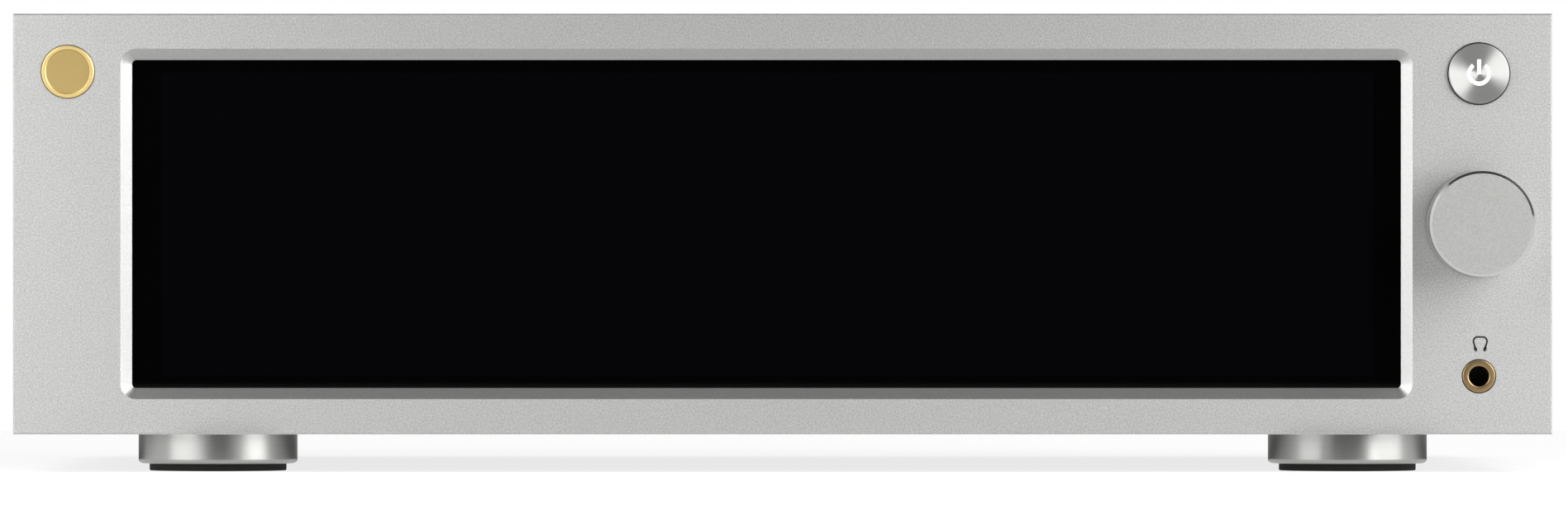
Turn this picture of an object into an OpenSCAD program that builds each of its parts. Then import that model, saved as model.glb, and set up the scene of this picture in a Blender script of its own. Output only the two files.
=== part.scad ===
// Network music streamer: a silver aluminium case with a bar display behind a bevelled window, a lit power
// button, a volume knob and a headphone socket on the right, four turned feet, and sockets on the rear panel.
// The origin is on the floor under the middle. X runs to the right as seen from the front, Y to the back and
// Z up. A depth is a distance behind the panel's front face. All sizes are in millimetres.

/* [Front panel] */
// Width of the front panel
panel_w = 278; // [272:1:320]
// Height of the front panel
panel_h = 76; // [74:0.5:90]
// Chamfer that breaks the panel's front edges
panel_edge = 0.3; // [0.1:0.05:0.6]

/* [Display] */
// Left edge of the panel to the outer edge of the window's bevel
window_left = 19.4; // [18:0.1:40]
// Right edge of the panel to the outer edge of the window's bevel
window_right = 25.25; // [25:0.05:45]
// Top or bottom edge of the panel to the outer edge of the bevel
window_edge = 6.35; // [6:0.05:12]
// Corner radius of the window
window_r = 0.8; // [0.4:0.1:3]
// Width and depth of the 45 degree bevel round the window
bevel = 2; // [1:0.1:3]
// Straight wall between the bevel and the glass
land = 0.3; // [0.1:0.05:1]
// How far the glass runs behind the panel on each side
glass_lap = 1.8; // [1:0.1:2.2]
// Thickness of the glass
glass_t = 1.1; // [0.7:0.1:2]
// Corner radius of the glass
glass_r = 1.5; // [0.5:0.1:3]
// Clearance round the glass in its pocket
display_fit = 0.2; // [0.1:0.05:0.4]
// How far the LCD module stands back from the edge of the glass
lcd_inset = 0.8; // [0.4:0.1:2]
// Thickness of the LCD module
lcd_t = 4.6; // [3:0.1:7]
// Thickness of the sheet bracket that clamps the display
clamp_t = 1.2; // [0.8:0.1:2]
// Width of the bracket's frame round its middle opening
clamp_rim = 14; // [8:1:22]
// How far each ear of the bracket reaches past the pocket
ear_w = 5; // [4.6:0.1:5.4]
// Height of each ear
ear_h = 8; // [6:0.5:8.5]
// Gap between an outer ear and the panel bracket beside it
ear_gap = 0.75; // [0.5:0.05:1]

/* [Power button] */
// Right edge of the panel to the line of the three controls
control_edge = 13.25; // [13:0.05:13.7]
// Top edge of the panel to the middle of the button
button_edge = 10.85; // [10.5:0.05:14]
// Diameter of the button
button_d = 11; // [9:0.1:11.5]
// Gap round the button in the panel
button_gap = 0.2; // [0.15:0.05:0.4]
// How far the button stands out
button_proud = 0.8; // [0.4:0.1:2]
// How far the button goes in
button_travel = 0.8; // [0.3:0.1:1]
// Chamfer round the button's face
button_chamfer = 0.15; // [0.1:0.05:0.6]
// Thickness of the button's front wall
button_wall = 1.4; // [0.8:0.1:2]
// Width and thickness of the flange that keeps the button in
button_flange = 1; // [0.6:0.1:1.3]
// Gap between the flange and the back of the panel
flange_gap = 0.1; // [0.05:0.05:0.3]
// Diameter of the light guide inside the button
guide_d = 7.6; // [6:0.1:8]
// Clearance round the light guide
guide_fit = 0.05; // [0.02:0.01:0.1]
// Outer diameter of the ring of the power symbol
symbol_d = 4.3; // [3:0.1:5.5]
// Stroke of the power symbol
symbol_stroke = 0.68; // [0.4:0.02:1]
// Half of the angle that the ring leaves open
symbol_open = 36; // [25:1:60]
// How far the symbol's bar reaches above the middle
bar_top = 2.55; // [1.5:0.05:3.5]
// How far the bar reaches below the middle
bar_bottom = 0.1; // [0:0.05:1]
// Side of the push switch
switch_w = 6.2; // [5:0.1:7]
// Height of the push switch above its board
switch_h = 3.5; // [3:0.1:4.5]
// Diameter of the switch's plunger
plunger_d = 3.4; // [2.5:0.1:4]
// How far the plunger stands out of the switch
plunger_out = 1.6; // [1.2:0.1:2]
// How far the plunger reaches into the switch
plunger_in = 1; // [0.6:0.1:1.2]
// Gap round the plunger
plunger_gap = 0.12; // [0.1:0.02:0.3]

/* [Volume knob] */
// Diameter of the knob
knob_d = 19; // [16:0.1:22]
// How far the knob's face stands in front of the panel
knob_proud = 13; // [10:0.5:18]
// Gap between the knob and the panel
knob_gap = 0.8; // [0.4:0.1:2]
// Chamfer round the knob's face
knob_chamfer = 0.45; // [0.2:0.05:1]
// Wall round the hollow in the knob's back
knob_rim = 1.5; // [1:0.1:2.5]
// Depth of the hollow in the knob's back
knob_hollow = 4; // [2:0.5:6]
// Diameter of the hub inside the hollow
hub_d = 10; // [8.5:0.1:12]
// Diameter of the encoder's shaft
shaft_d = 6; // [5:0.1:6.2]
// Running clearance round the shaft
shaft_fit = 0.05; // [0.02:0.01:0.08]
// How far the shaft reaches into the knob
shaft_grip = 9; // [6:0.5:9.5]
// Flat that keys the shaft in the knob
shaft_flat = 1.5; // [0.5:0.1:2]
// Diameter of the encoder's bush
bush_d = 7.4; // [7:0.1:8]
// Gap round the bush in the panel
bush_gap = 0.15; // [0.1:0.05:0.3]
// Length of the bush
bush_l = 7.5; // [5:0.1:8.5]
// Side of the encoder's body
encoder_w = 12; // [10:0.1:13]
// Height of the encoder's body above its board
encoder_h = 6.5; // [5:0.1:7]
// How far the shaft reaches into the encoder's body
shaft_in = 3; // [2:0.1:4]

/* [Headphone socket] */
// Bottom edge of the panel to the middle of the socket
jack_edge = 10.5; // [10:0.05:14]
// Outer diameter of the metal collar
collar_d = 5.95; // [5.5:0.05:7]
// Gap round the collar in the panel
collar_gap = 0.15; // [0.1:0.05:0.3]
// How far the collar stands out
collar_proud = 0.2; // [0:0.05:1]
// Chamfer on the collar's outer edge
collar_chamfer = 0.2; // [0.1:0.05:0.4]
// Diameter of the bore that takes the plug
jack_bore = 3.6; // [3.5:0.02:3.7]
// Chamfer at the mouth of the bore
bore_chamfer = 0.22; // [0.1:0.02:0.5]
// Side of the socket's body
jack_w = 8.4; // [7:0.1:10]
// Length of the socket's body
jack_l = 6.5; // [5:0.1:7]
// Wall behind the bore
jack_back = 1.2; // [0.8:0.1:2]
// Extra width of the contact space behind the collar
contact_room = 0.8; // [0.4:0.1:2]

/* [Badge] */
// Left edge of the panel to the middle of the badge
badge_left = 9.9; // [8:0.1:12]
// Top edge of the panel to the middle of the badge
badge_top = 10.5; // [8:0.1:14]
// Diameter of the badge
badge_d = 9.6; // [8:0.1:12]
// Thickness of the badge
badge_t = 1.2; // [0.8:0.1:2]
// How far the badge stands out
badge_proud = 0.35; // [0.1:0.05:0.8]
// Width of the badge's raised rim
badge_rim = 0.9; // [0.4:0.1:2]
// Depth of the field inside the rim
badge_field = 0.25; // [0.1:0.05:0.6]
// Gap round the badge in its seat
badge_gap = 0.12; // [0.05:0.01:0.3]

/* [Control board] */
// Back of the panel to the front of the control board
control_reach = 8; // [7.6:0.1:9]
// Thickness of every circuit board
board_t = 1.6; // [1:0.1:2]
// How far the board reaches left of the controls
control_left = 11.2; // [8:0.1:12]
// How far the board reaches past the button and the socket
control_ends = 5.2; // [4.4:0.1:6]
// Clearance between a board and the walls beside it
board_gap = 0.5; // [0.3:0.1:1]

/* [Panel brackets] */
// Thickness of the brackets
lug_t = 2.5; // [2:0.1:3]
// Height of each bracket
lug_h = 12; // [9:0.5:12.5]
// Gap between the display's bracket and the brackets beside it
lug_gap = 0.15; // [0.1:0.05:1]
// Reach of each bracket along the side panel
lug_l = 19; // [17:0.5:24]
// Side panel to the bracket's hole in the panel leg
lug_hole = 6.5; // [5.6:0.1:8]
// Width across flats of the hexagonal standoffs
hex_w = 5.5; // [5:0.1:6]
// Diameter of the rivet ends that hold standoffs in the bottom plate
rivet_d = 3.6; // [3:0.1:4.4]

/* [Case] */
// Front face of the panel to the back of the case
body_d = 202; // [196:1:260]
// How far the case stands back from the panel's outline
body_inset = 0.5; // [0.3:0.1:1]
// Thickness of the side panels
side_t = 5.5; // [5:0.1:6]
// Thickness of the top cover
cover_t = 3; // [2:0.1:4]
// Chamfer along the cover's long edges
cover_edge = 0.35; // [0.1:0.05:0.4]
// Thickness of the bottom plate
base_t = 2; // [1.6:0.1:3]
// Thickness of the rear panel
rear_t = 2.5; // [1.8:0.1:3.5]
// Width of each vent slot
vent_w = 2.4; // [1.5:0.1:3.5]
// Length of the slots in the cover
vent_l = 54; // [20:1:70]
// Spacing of the slots
vent_pitch = 6; // [5:0.5:9]
// Number of slots in the cover
vent_n = 33; // [5:2:35]
// Depth of the middle of the cover's slots
vent_at = 132; // [90:1:150]
// Number of slots in the bottom plate
base_vent_n = 17; // [3:2:21]
// Length of the slots in the bottom plate
base_vent_l = 40; // [20:1:60]

/* [Feet] */
// Floor to the bottom edge of the panel
foot_clear = 6.9; // [6.5:0.1:14]
// Diameter of each foot
foot_d = 29; // [27:0.5:40]
// Radius of the bottom edge of each foot
foot_round = 0.8; // [0.2:0.1:1]
// Side of the case to the middle of a front foot
foot_side = 35.4; // [25:0.1:45]
// Side of the case to the middle of a rear foot
rear_foot_side = 29.4; // [25:0.1:45]
// Front or back face to the middle of a foot
foot_end = 28; // [24:1:40]
// Diameter of the pad under each foot
pad_d = 25; // [20:0.5:26]
// How far the pad stands below the metal
pad_proud = 1.3; // [0.8:0.1:2]
// How far the pad sits inside the metal
pad_sink = 1.5; // [1:0.1:2]
// Clearance round the pad
pad_fit = 0.15; // [0.05:0.05:0.3]
// Rounding chamfer under the pad
pad_edge = 0.15; // [0.1:0.05:0.6]

/* [Screws] */
// Thread diameter of the case screws
screw_d = 2.5; // [2:0.1:2.8]
// Head diameter of the case screws
screw_head = 4.7; // [4:0.1:4.8]
// Head height of the case screws
screw_head_h = 1.1; // [1:0.1:1.5]
// Thread length of the case screws
screw_l = 8; // [6:0.5:12]
// Thread diameter of the small screws
small_d = 2; // [1.6:0.1:2.3]
// Head diameter of the small screws
small_head = 3.8; // [3.2:0.1:4.4]
// Head height of the small screws
small_head_h = 1.3; // [1:0.1:1.8]
// Thread depth of the small screws
small_l = 3.4; // [2.5:0.1:4]
// Thread depth of the bracket screws in the panel and the sides
lug_screw_l = 3.8; // [3:0.1:4]
// Thread diameter of the foot screws
foot_screw_d = 4; // [3:0.1:5]
// Head diameter of the foot screws
foot_head = 7.6; // [6:0.1:9]
// Head height of the foot screws
foot_head_h = 2.2; // [1.5:0.1:2.4]
// Clearance round a thread in its tapped hole
thread_fit = 0.05; // [0.02:0.01:0.1]
// Clearance round a screw in a plate that it passes through
screw_gap = 0.2; // [0.15:0.05:0.4]
// Width across flats of the key sockets in the screw heads
key_w = 1.5; // [1.2:0.1:1.8]
// Depth of the key sockets
key_h = 0.7; // [0.4:0.1:0.9]
// End of the case to the nearest screw along it
screw_end = 16; // [14:1:40]
// Top or bottom of the rear panel to its screws
rear_screw_edge = 8; // [7:0.5:20]

/* [Boards] */
// Floor of the case to the main and supply boards
board_rise = 6; // [5:0.5:10]
// Gap between the supply board and the main board, where the shield plate stands
shield_room = 20; // [18:1:36]
// Length of the main board
main_l = 158; // [140:1:160]
// Inner face of a side panel to the boards
board_side = 5; // [4.5:0.5:6]
// Inner face of the rear panel to the boards
board_back = 1.5; // [1:0.1:3]
// Gap between the main board and the audio board
audio_rise = 30; // [24:0.5:34]
// Width of the audio board
audio_w = 160; // [155:1:170]
// Length of the audio board
audio_l = 84; // [60:1:88]
// Width of the supply board
supply_w = 50; // [46:1:56]
// Length of the supply board
supply_l = 104; // [90:1:110]
// Back of the mains inlet to the supply board
supply_gap = 12; // [9:0.5:16]
// Edge of a board to its screws
board_screw_edge = 6; // [5:0.5:8]
// Back edge of the boards to their rear screws
board_screw_back = 24; // [22:1:30]
// Side of the processor
chip_w = 22; // [16:1:30]
// Height of the chips
chip_h = 2.2; // [1:0.1:3]
// Side of the smaller chips
small_chip_w = 10; // [8:1:12]
// Side of the heatsink
sink_w = 56; // [40:1:60]
// Gap between the display's ribbon cable and the heatsink
sink_gap = 3; // [2:0.5:6]
// Thickness of the heatsink's base
sink_base = 4; // [3:0.5:6]
// Height of the heatsink's fins
sink_fin_h = 16; // [8:1:20]
// Thickness of each fin
sink_fin_t = 1.6; // [1:0.1:2]
// Number of fins
sink_fin_n = 9; // [5:1:11]
// Width of the supply transformer
trans_w = 34; // [26:1:40]
// Length of the supply transformer
trans_l = 30; // [24:1:34]
// Height of the supply transformer
trans_h = 27; // [20:1:36]
// Width of the transformer's winding past its core
trans_coil = 3; // [1:0.5:4]
// Diameter of the large capacitors
cap_d = 16; // [12:0.5:18]
// Height of the large capacitors
cap_h = 28; // [20:1:36]
// Thickness of the shield plate
shield_t = 1.2; // [0.8:0.1:2]
// Height of the shield plate
shield_h = 52; // [30:1:60]
// Length of the shield plate
shield_l = 140; // [100:1:150]
// Width of the shield plate's foot
shield_foot = 7; // [5:0.5:7.5]

/* [Cables] */
// Width of the display's ribbon cable
ribbon_w = 30; // [16:1:40]
// Width of the control board's ribbon cable
control_ribbon_w = 5; // [4:0.5:5.5]
// Thickness of the ribbon cables
ribbon_t = 0.4; // [0.3:0.05:0.8]
// Main board's front edge to the end of a ribbon cable
ribbon_end = 6; // [4:0.5:10]
// Height of the ribbon cables' level run above the main board
ribbon_rise = 12; // [10:0.5:16]
// Diameter of the mains wires
wire_d = 2.4; // [1.6:0.1:3]
// Bend radius of the mains wires
wire_bend = 5; // [4:0.5:6]
// Front to back spacing of the wires on the supply board
wire_step = 8; // [7:0.5:10]

/* [Mains inlet and switch] */
// Inner face of the left side to the middle of the inlet
inlet_side = 23; // [20:0.5:26]
// Height of the middle of the inlet above the bottom of the panel
inlet_rise = 29; // [27:0.5:31]
// Width of the inlet's body
inlet_w = 27.4; // [26.5:0.1:29]
// Height of the inlet's body
inlet_h = 32.4; // [31.5:0.1:34]
// Depth of the inlet's body behind the rear face
inlet_l = 24; // [21:0.5:27]
// Width of the flange round the inlet and the switch
flange_w = 1.8; // [1:0.1:2.2]
// Thickness of the flange round the inlet and the switch
flange_t = 2.2; // [1.5:0.1:3]
// Width of the space for the mains plug
plug_w = 24.4; // [24:0.1:25]
// Height of the space for the mains plug
plug_h = 16.4; // [16:0.1:17]
// Depth of the space for the mains plug
plug_l = 17; // [16:0.1:19]
// Cut corners of that space
plug_corner = 5; // [4:0.1:6]
// Height of that space's middle above the inlet's middle
plug_rise = 5.6; // [5:0.1:6]
// Thickness of the contact blades
blade_t = 2; // [1.6:0.1:2.4]
// Height of the contact blades
blade_h = 4; // [3:0.1:4.4]
// Distance of the outer blades from the middle one
blade_pitch = 7; // [6.5:0.1:7.5]
// Height of the middle blade above the outer ones
blade_rise = 4; // [3:0.1:4.5]
// Mouth of the inlet to the tips of the blades
blade_sink = 3; // [2:0.1:5]
// Length of the blades' tails behind the inlet
blade_tail = 6; // [4:0.5:8]
// Clearance round the blades in the inlet
blade_fit = 0.05; // [0.02:0.01:0.1]
// Width of the fuse drawer
drawer_w = 22; // [21.6:0.1:23]
// Height of the fuse drawer
drawer_h = 7.6; // [7:0.1:8]
// Length of the fuse drawer inside the inlet
drawer_l = 20; // [14:0.5:21]
// Gap round the fuse drawer
drawer_gap = 0.3; // [0.2:0.05:0.5]
// Height of the drawer's middle below the inlet's middle
drawer_drop = 10; // [9.5:0.1:10.4]
// Width of the lip round the drawer's face
drawer_lip = 0.8; // [0.6:0.1:1]
// Thickness of the drawer's face
drawer_face = 1.6; // [1:0.1:2.5]
// Diameter of the fuse
fuse_d = 5.2; // [4.8:0.1:5.6]
// Length of the fuse
fuse_l = 20; // [18:0.5:20.4]
// Clearance round the fuse in its trough
fuse_gap = 0.15; // [0.05:0.05:0.3]
// Middle of the fuse to the drawer's back end
fuse_back = 5; // [4:0.5:8]
// Height of the switch's middle above the bottom of the panel
rocker_rise = 59; // [58:0.5:61]
// Width of the switch's body
housing_w = 18.8; // [18:0.1:20]
// Height of the switch's body
housing_h = 12.6; // [12.4:0.1:14]
// Depth of the switch's body behind the rear face
housing_l = 16; // [13:0.5:20]
// Width of the rocker
rocker_w = 13.2; // [12:0.1:13.8]
// Height of the rocker
rocker_h = 9.6; // [8:0.1:9.8]
// Side gap of the rocker in its housing
rocker_gap = 0.35; // [0.3:0.05:0.4]
// End gap of the rocker in its housing
rocker_end_gap = 0.9; // [0.8:0.05:1.2]
// Tilt of the rocker either side of level
rocker_tilt = 11; // [6:1:12]
// Height of the rocker's valley over its pivot
rocker_rise_mid = 2.2; // [1.8:0.1:3]
// Reach of the rocker behind its pivot
rocker_tail = 4; // [3:0.1:4.5]
// Width of the rocker's tail
rocker_tail_w = 5; // [3:0.5:6]
// Depth of the rocker's pivot behind the flange's face
pivot_sink = 3.7; // [3.4:0.1:4.5]
// Diameter of the rocker's pivot pins
pivot_d = 2.4; // [1.6:0.1:3]
// Running clearance of the pivot pins
pivot_fit = 0.05; // [0.02:0.01:0.1]
// Room behind the rocker's tail
rocker_room = 1.5; // [1:0.1:3]

/* [Phono and optical sockets] */
// Inner face of the right side to the first phono socket
rca_side = 15; // [12:0.5:18]
// Spacing of the phono sockets
rca_pitch = 19; // [16:0.5:19.5]
// Number of phono sockets
rca_n = 6; // [2:1:6]
// Height of the phono sockets' middle above the audio board
rca_rise = 9; // [7:0.1:12]
// Outer diameter of the phono sockets
rca_d = 8.3; // [8:0.1:8.5]
// Wall of the phono sockets
rca_wall = 0.7; // [0.4:0.1:1]
// How far the phono sockets stand out of the rear panel
rca_proud = 9; // [8:0.5:12]
// Diameter of the collar against the rear panel
rca_flange_d = 12; // [10:0.1:14]
// Thickness of that collar
rca_flange_t = 1.6; // [1:0.1:3]
// Gap round the sockets in the rear panel
port_gap = 0.3; // [0.15:0.05:0.5]
// Diameter of the centre contact's bore
rca_bore = 3.3; // [3.2:0.05:3.6]
// Depth of the centre contact's bore
rca_bore_l = 8; // [6:0.5:10]
// How far the insulator sits inside the shell's end
rca_sink = 0.8; // [0.4:0.1:2]
// Clearance between the shell and the insulator
rca_fit = 0.05; // [0.02:0.01:0.1]
// Width of the socket bodies on the audio board
rca_body_w = 12; // [10:0.5:14]
// Length of the socket bodies
rca_body_l = 13; // [10:0.5:16]
// Last phono socket to the first optical port
optical_step = 20; // [16:0.5:21]
// Spacing of the optical ports
optical_pitch = 17; // [13:0.5:18]
// Width of the optical ports
optical_w = 10.4; // [10:0.1:12]
// Height of the optical ports
optical_h = 10.8; // [10.4:0.1:13]
// Length of the optical ports
optical_l = 15; // [14:0.5:17]
// Side of the opening for the optical plug
optical_hole = 7.4; // [7:0.1:7.8]
// Depth of the opening for the optical plug
optical_hole_l = 11.2; // [10.8:0.1:12.5]
// How far ports stand out of the rear panel
port_proud = 0.8; // [0.2:0.1:2]
// Thickness of the optical shutters
shutter_t = 0.8; // [0.6:0.1:1]
// Gap round the optical shutters
shutter_gap = 0.3; // [0.2:0.05:0.4]
// Mouth of the port to the shutter's pin
shutter_sink = 4.4; // [4:0.1:4.8]
// Diameter of the shutter's pin
shutter_pin = 1; // [0.8:0.1:1.2]
// Top of the opening to the shutter's pin
shutter_drop = 0.9; // [0.8:0.05:1.2]
// Length of the shutter's pin in each side of the port
shutter_pin_l = 0.8; // [0.5:0.1:1]

/* [Data sockets] */
// Inner face of the right side to the first HDMI port
hdmi_side = 22; // [18:0.5:26]
// Spacing of the HDMI ports
hdmi_pitch = 24; // [18:0.5:26]
// Number of HDMI ports
hdmi_n = 2; // [1:1:2]
// Width of an HDMI port
hdmi_w = 15.2; // [15:0.1:16]
// Height of an HDMI port
hdmi_h = 6; // [5.8:0.1:7]
// Wall of the metal ports
shell_t = 0.6; // [0.4:0.1:0.8]
// Length of the HDMI ports
hdmi_l = 12; // [10:0.5:15]
// Cut corners of the HDMI opening
hdmi_corner = 1.8; // [1:0.1:2]
// Thickness of the HDMI tongue
hdmi_tongue_t = 1.2; // [0.8:0.1:1.6]
// Last HDMI port to the USB port
usb_step = 26; // [20:0.5:28]
// Width of the stacked USB port
usb_w = 14.6; // [14:0.1:16]
// Height of the stacked USB port
usb_h = 15.8; // [15:0.1:18]
// Length of the stacked USB port
usb_l = 17; // [14:0.5:20]
// Width of each USB opening
usb_hole_w = 12.6; // [12.4:0.1:13]
// Height of each USB opening
usb_hole_h = 5.2; // [5:0.1:5.6]
// Spacing of the two USB openings
usb_pitch = 7.6; // [7:0.1:8]
// Depth of the USB and HDMI openings
port_hole_l = 9; // [7:0.5:9.5]
// Thickness of the USB tongues
usb_tongue_t = 1.9; // [1.5:0.1:2.2]
// Height of a USB tongue above the middle of its opening
usb_tongue_rise = 0.9; // [0.5:0.1:1.2]
// Front of the ports to their tongues
tongue_sink = 1.5; // [1:0.1:3]
// Side gap of the tongues in their openings
tongue_gap = 0.8; // [0.5:0.1:1.2]
// USB port to the network port
lan_step = 26; // [20:0.5:28]
// Width of the network port
lan_w = 16; // [15:0.1:18]
// Height of the network port
lan_h = 13.6; // [13:0.1:16]
// Length of the network port
lan_l = 18; // [15:0.5:21]
// Width of the network opening
lan_hole_w = 11.8; // [11.6:0.1:12.2]
// Height of the network opening
lan_hole_h = 8; // [6.8:0.1:8.4]
// Depth of the network opening
lan_hole_l = 13; // [11:0.5:14]
// Width of the notch for the plug's latch
latch_w = 6; // [5:0.1:7]
// Height of the notch for the plug's latch
latch_h = 2; // [1.5:0.1:2.4]
// Network port to the first trigger socket
trigger_step = 24; // [18:0.5:26]
// Spacing of the trigger sockets
trigger_pitch = 17; // [13:0.5:20]
// Number of trigger sockets
trigger_n = 2; // [1:1:3]
// Side of the trigger sockets
trigger_w = 10; // [9:0.1:12]
// Length of the trigger sockets
trigger_l = 13; // [11:0.5:16]
// Diameter of the round nose in the rear panel
trigger_nose = 7.6; // [6:0.1:8.6]
// Depth of the trigger sockets' bore
trigger_bore_l = 12; // [10:0.5:13]

/* [Hidden] */
$fn = 64;
// Cuts run past the faces that they open
over = 1;

// Colours
silver = "#c6c6c4";
satin = "#b9b9b7";
gold = "#c8ad72";
black = "#18181a";
dark = "#2b2a29";
steel = "#a9abae";
green = "#1f5a3c";
white = "#f2f2ee";

// The depth of the front face, so that the whole part is centred front to back
front_y = (knob_proud - body_d - rca_proud) / 2;

// Heights
top_z = foot_clear + panel_h;
mid_z = foot_clear + panel_h / 2;
base_z = foot_clear + body_inset;
floor_z = base_z + base_t;
cover_z = top_z - body_inset;
roof_z = cover_z - cover_t;

// Widths of the case
body_x = panel_w / 2 - body_inset;
inner_x = body_x - side_t;
side_mid = inner_x + side_t / 2;
rear_in = body_d - rear_t;

// The window and the display stacked behind it, which sets the panel's thickness
window_w = panel_w - window_left - window_right - 2 * bevel;
window_h = panel_h - 2 * window_edge - 2 * bevel;
window_x = (window_left - window_right) / 2;
glass_w = window_w + 2 * glass_lap;
glass_h = window_h + 2 * glass_lap;
glass_at = bevel + land;
lcd_at = glass_at + glass_t;
panel_t = lcd_at + lcd_t;
pocket_w = glass_w + 2 * display_fit;
pocket_h = glass_h + 2 * display_fit;
clamp_edge = abs(window_x) + pocket_w / 2 + ear_w / 4;
ear_xs = [window_x - pocket_w / 2 - ear_w / 2, window_x + pocket_w / 2 + ear_w / 2];

// The column of controls and the board behind it
control_x = panel_w / 2 - control_edge;
button_z = top_z - button_edge;
knob_z = mid_z;
jack_z = foot_clear + jack_edge;
control_at = panel_t + control_reach;
flange_at = panel_t + flange_gap;
plunger_at = control_at - switch_h - plunger_out;
encoder_at = control_at - encoder_h;
bush_at = encoder_at - bush_l;
jack_at = control_at - jack_l;
lug_zs = [(jack_z + knob_z) / 2, (knob_z + button_z) / 2];
ear_step = (lug_h + ear_h) / 2 + ear_gap;
ear_zs = [lug_zs[0] - ear_step, mid_z, lug_zs[1] + ear_step];
lug_x = inner_x - lug_hole;
lug_screw_at = panel_t + lug_l - lug_h / 3;

// The badge's place
badge_x = badge_left - panel_w / 2;
badge_z = top_z - badge_top;

// Feet and case screws
foot_xs = [body_x - foot_side, body_x - rear_foot_side];
foot_ats = [foot_end, body_d - foot_end];
foot_places = [for (i = [0, 1], side = [-1, 1]) [side * foot_xs[i], foot_ats[i]]];
pad_roof = pad_proud + pad_sink;
foot_seat = pad_roof + foot_head_h;
case_screw_ats = [panel_t + screw_end, (panel_t + rear_in) / 2, rear_in - screw_end];
rear_screw_zs = [floor_z + rear_screw_edge, roof_z - rear_screw_edge];

// Circuit boards
board_z = floor_z + board_rise;
board_top = board_z + board_t;
board_end = rear_in - board_back;
supply_x0 = board_side - inner_x;
supply_x1 = supply_x0 + supply_w;
supply_mid = (supply_x0 + supply_x1) / 2;
main_x0 = supply_x1 + shield_room;
main_x1 = inner_x - board_side;
main_at = board_end - main_l;
audio_x0 = main_x1 - audio_w;
audio_at = board_end - audio_l;
audio_z = board_top + audio_rise;
audio_top = audio_z + board_t;
inlet_back = body_d - inlet_l;
supply_end = inlet_back - supply_gap;
supply_at = supply_end - supply_l;
shield_x = (supply_x1 + main_x0) / 2;
audio_holes = [
    for (x = [audio_x0 + board_screw_edge, main_x1 - board_screw_edge])
        for (at = [audio_at + board_screw_edge, board_end - board_screw_back]) [x, at]
];
main_holes = [
    [main_x0 + board_screw_edge, main_at + board_screw_edge],
    [main_x1 - board_screw_edge, main_at + board_screw_edge],
    [main_x0 + board_screw_edge, board_end - board_screw_edge]
];
supply_holes = [
    for (x = [supply_x0 + board_screw_edge, supply_x1 - board_screw_edge])
        for (at = [supply_at + board_screw_edge, supply_end - board_screw_edge]) [x, at]
];
chip_x = (main_x0 + main_x1) / 2;
chip_at = main_at + ribbon_end + sink_gap + sink_w / 2;

// Mains inlet and switch
inlet_x = inlet_side - inner_x;
inlet_z = foot_clear + inlet_rise;
mouth = body_d + flange_t;
plug_z = inlet_z + plug_rise;
blade_places = [
    [inlet_x - blade_pitch, plug_z - blade_rise / 2],
    [inlet_x + blade_pitch, plug_z - blade_rise / 2],
    [inlet_x, plug_z + blade_rise / 2]
];
drawer_z = inlet_z - drawer_drop;
drawer_at = mouth - drawer_l;
fuse_at = drawer_at + fuse_back;
rocker_z = foot_clear + rocker_rise;
pivot_at = mouth - pivot_sink;
rocker_end = rocker_rise_mid + rocker_w / 2 * tan(rocker_tilt);
wire_ats = [supply_end - wire_step, supply_end - 2 * wire_step];

// Phono, optical and data sockets
rca_xs = [for (i = [0 : rca_n - 1]) inner_x - rca_side - i * rca_pitch];
rca_z = audio_top + rca_rise;
rca_back = rear_in - rca_body_l;
optical_x0 = rca_xs[rca_n - 1] - optical_step;
optical_xs = [optical_x0, optical_x0 - optical_pitch];
optical_z = audio_top + optical_h / 2;
port_front = body_d + port_proud;
shutter_z = optical_z + optical_hole / 2 - shutter_drop;
shutter_at = port_front - shutter_sink;
hdmi_xs = [for (i = [0 : hdmi_n - 1]) inner_x - hdmi_side - i * hdmi_pitch];
hdmi_z = board_top + hdmi_h / 2;
usb_x = hdmi_xs[hdmi_n - 1] - usb_step;
usb_z = board_top + usb_h / 2;
usb_zs = [usb_z - usb_pitch / 2, usb_z + usb_pitch / 2];
lan_x = usb_x - lan_step;
lan_z = board_top + lan_h / 2;
trigger_xs = [for (i = [0 : trigger_n - 1]) lan_x - trigger_step - i * trigger_pitch];
trigger_z = board_top + trigger_w / 2;

// Shapes used by several pieces

// Puts a piece drawn by depth into the part's frame
module placed() {
    translate([0, front_y, 0]) children();
}

// A box between two corners
module box(low, high) {
    translate(low) cube(high - low);
}

// A box centred on x and z that runs between two depths
module block(x, z, w, h, from, to) {
    box([x - w / 2, from, z - h / 2], [x + w / 2, to, z + h / 2]);
}

// A round bar along the depth
module bar_y(x, z, d, from, to) {
    translate([x, from, z]) rotate([-90, 0, 0]) cylinder(d = d, h = to - from);
}

// A round bar upwards
module bar_z(x, at, d, from, to) {
    translate([x, at, from]) cylinder(d = d, h = to - from);
}

// A round bar across
module bar_x(at, z, d, from, to) {
    translate([from, at, z]) rotate([0, 90, 0]) cylinder(d = d, h = to - from);
}

// A piece turned about a line along the depth, from a profile of radius and depth
module turned(x, z, profile) {
    translate([x, 0, z]) rotate([-90, 0, 0]) rotate_extrude() polygon(profile);
}

// A flat outline of x and z, extruded between two depths
module through(from, to) {
    translate([0, to, 0]) rotate([90, 0, 0]) linear_extrude(to - from) children();
}

// A flat outline of depth and z, extruded between two places across
module across(from, to) {
    translate([from, 0, 0]) rotate([90, 0, 90]) linear_extrude(to - from) children();
}

module round_rect(w, h, r) {
    square([w - 2 * r, h], center = true);
    square([w, h - 2 * r], center = true);
    for (x = [r - w / 2, w / 2 - r], y = [r - h / 2, h / 2 - r])
        translate([x, y]) circle(r);
}

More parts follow.
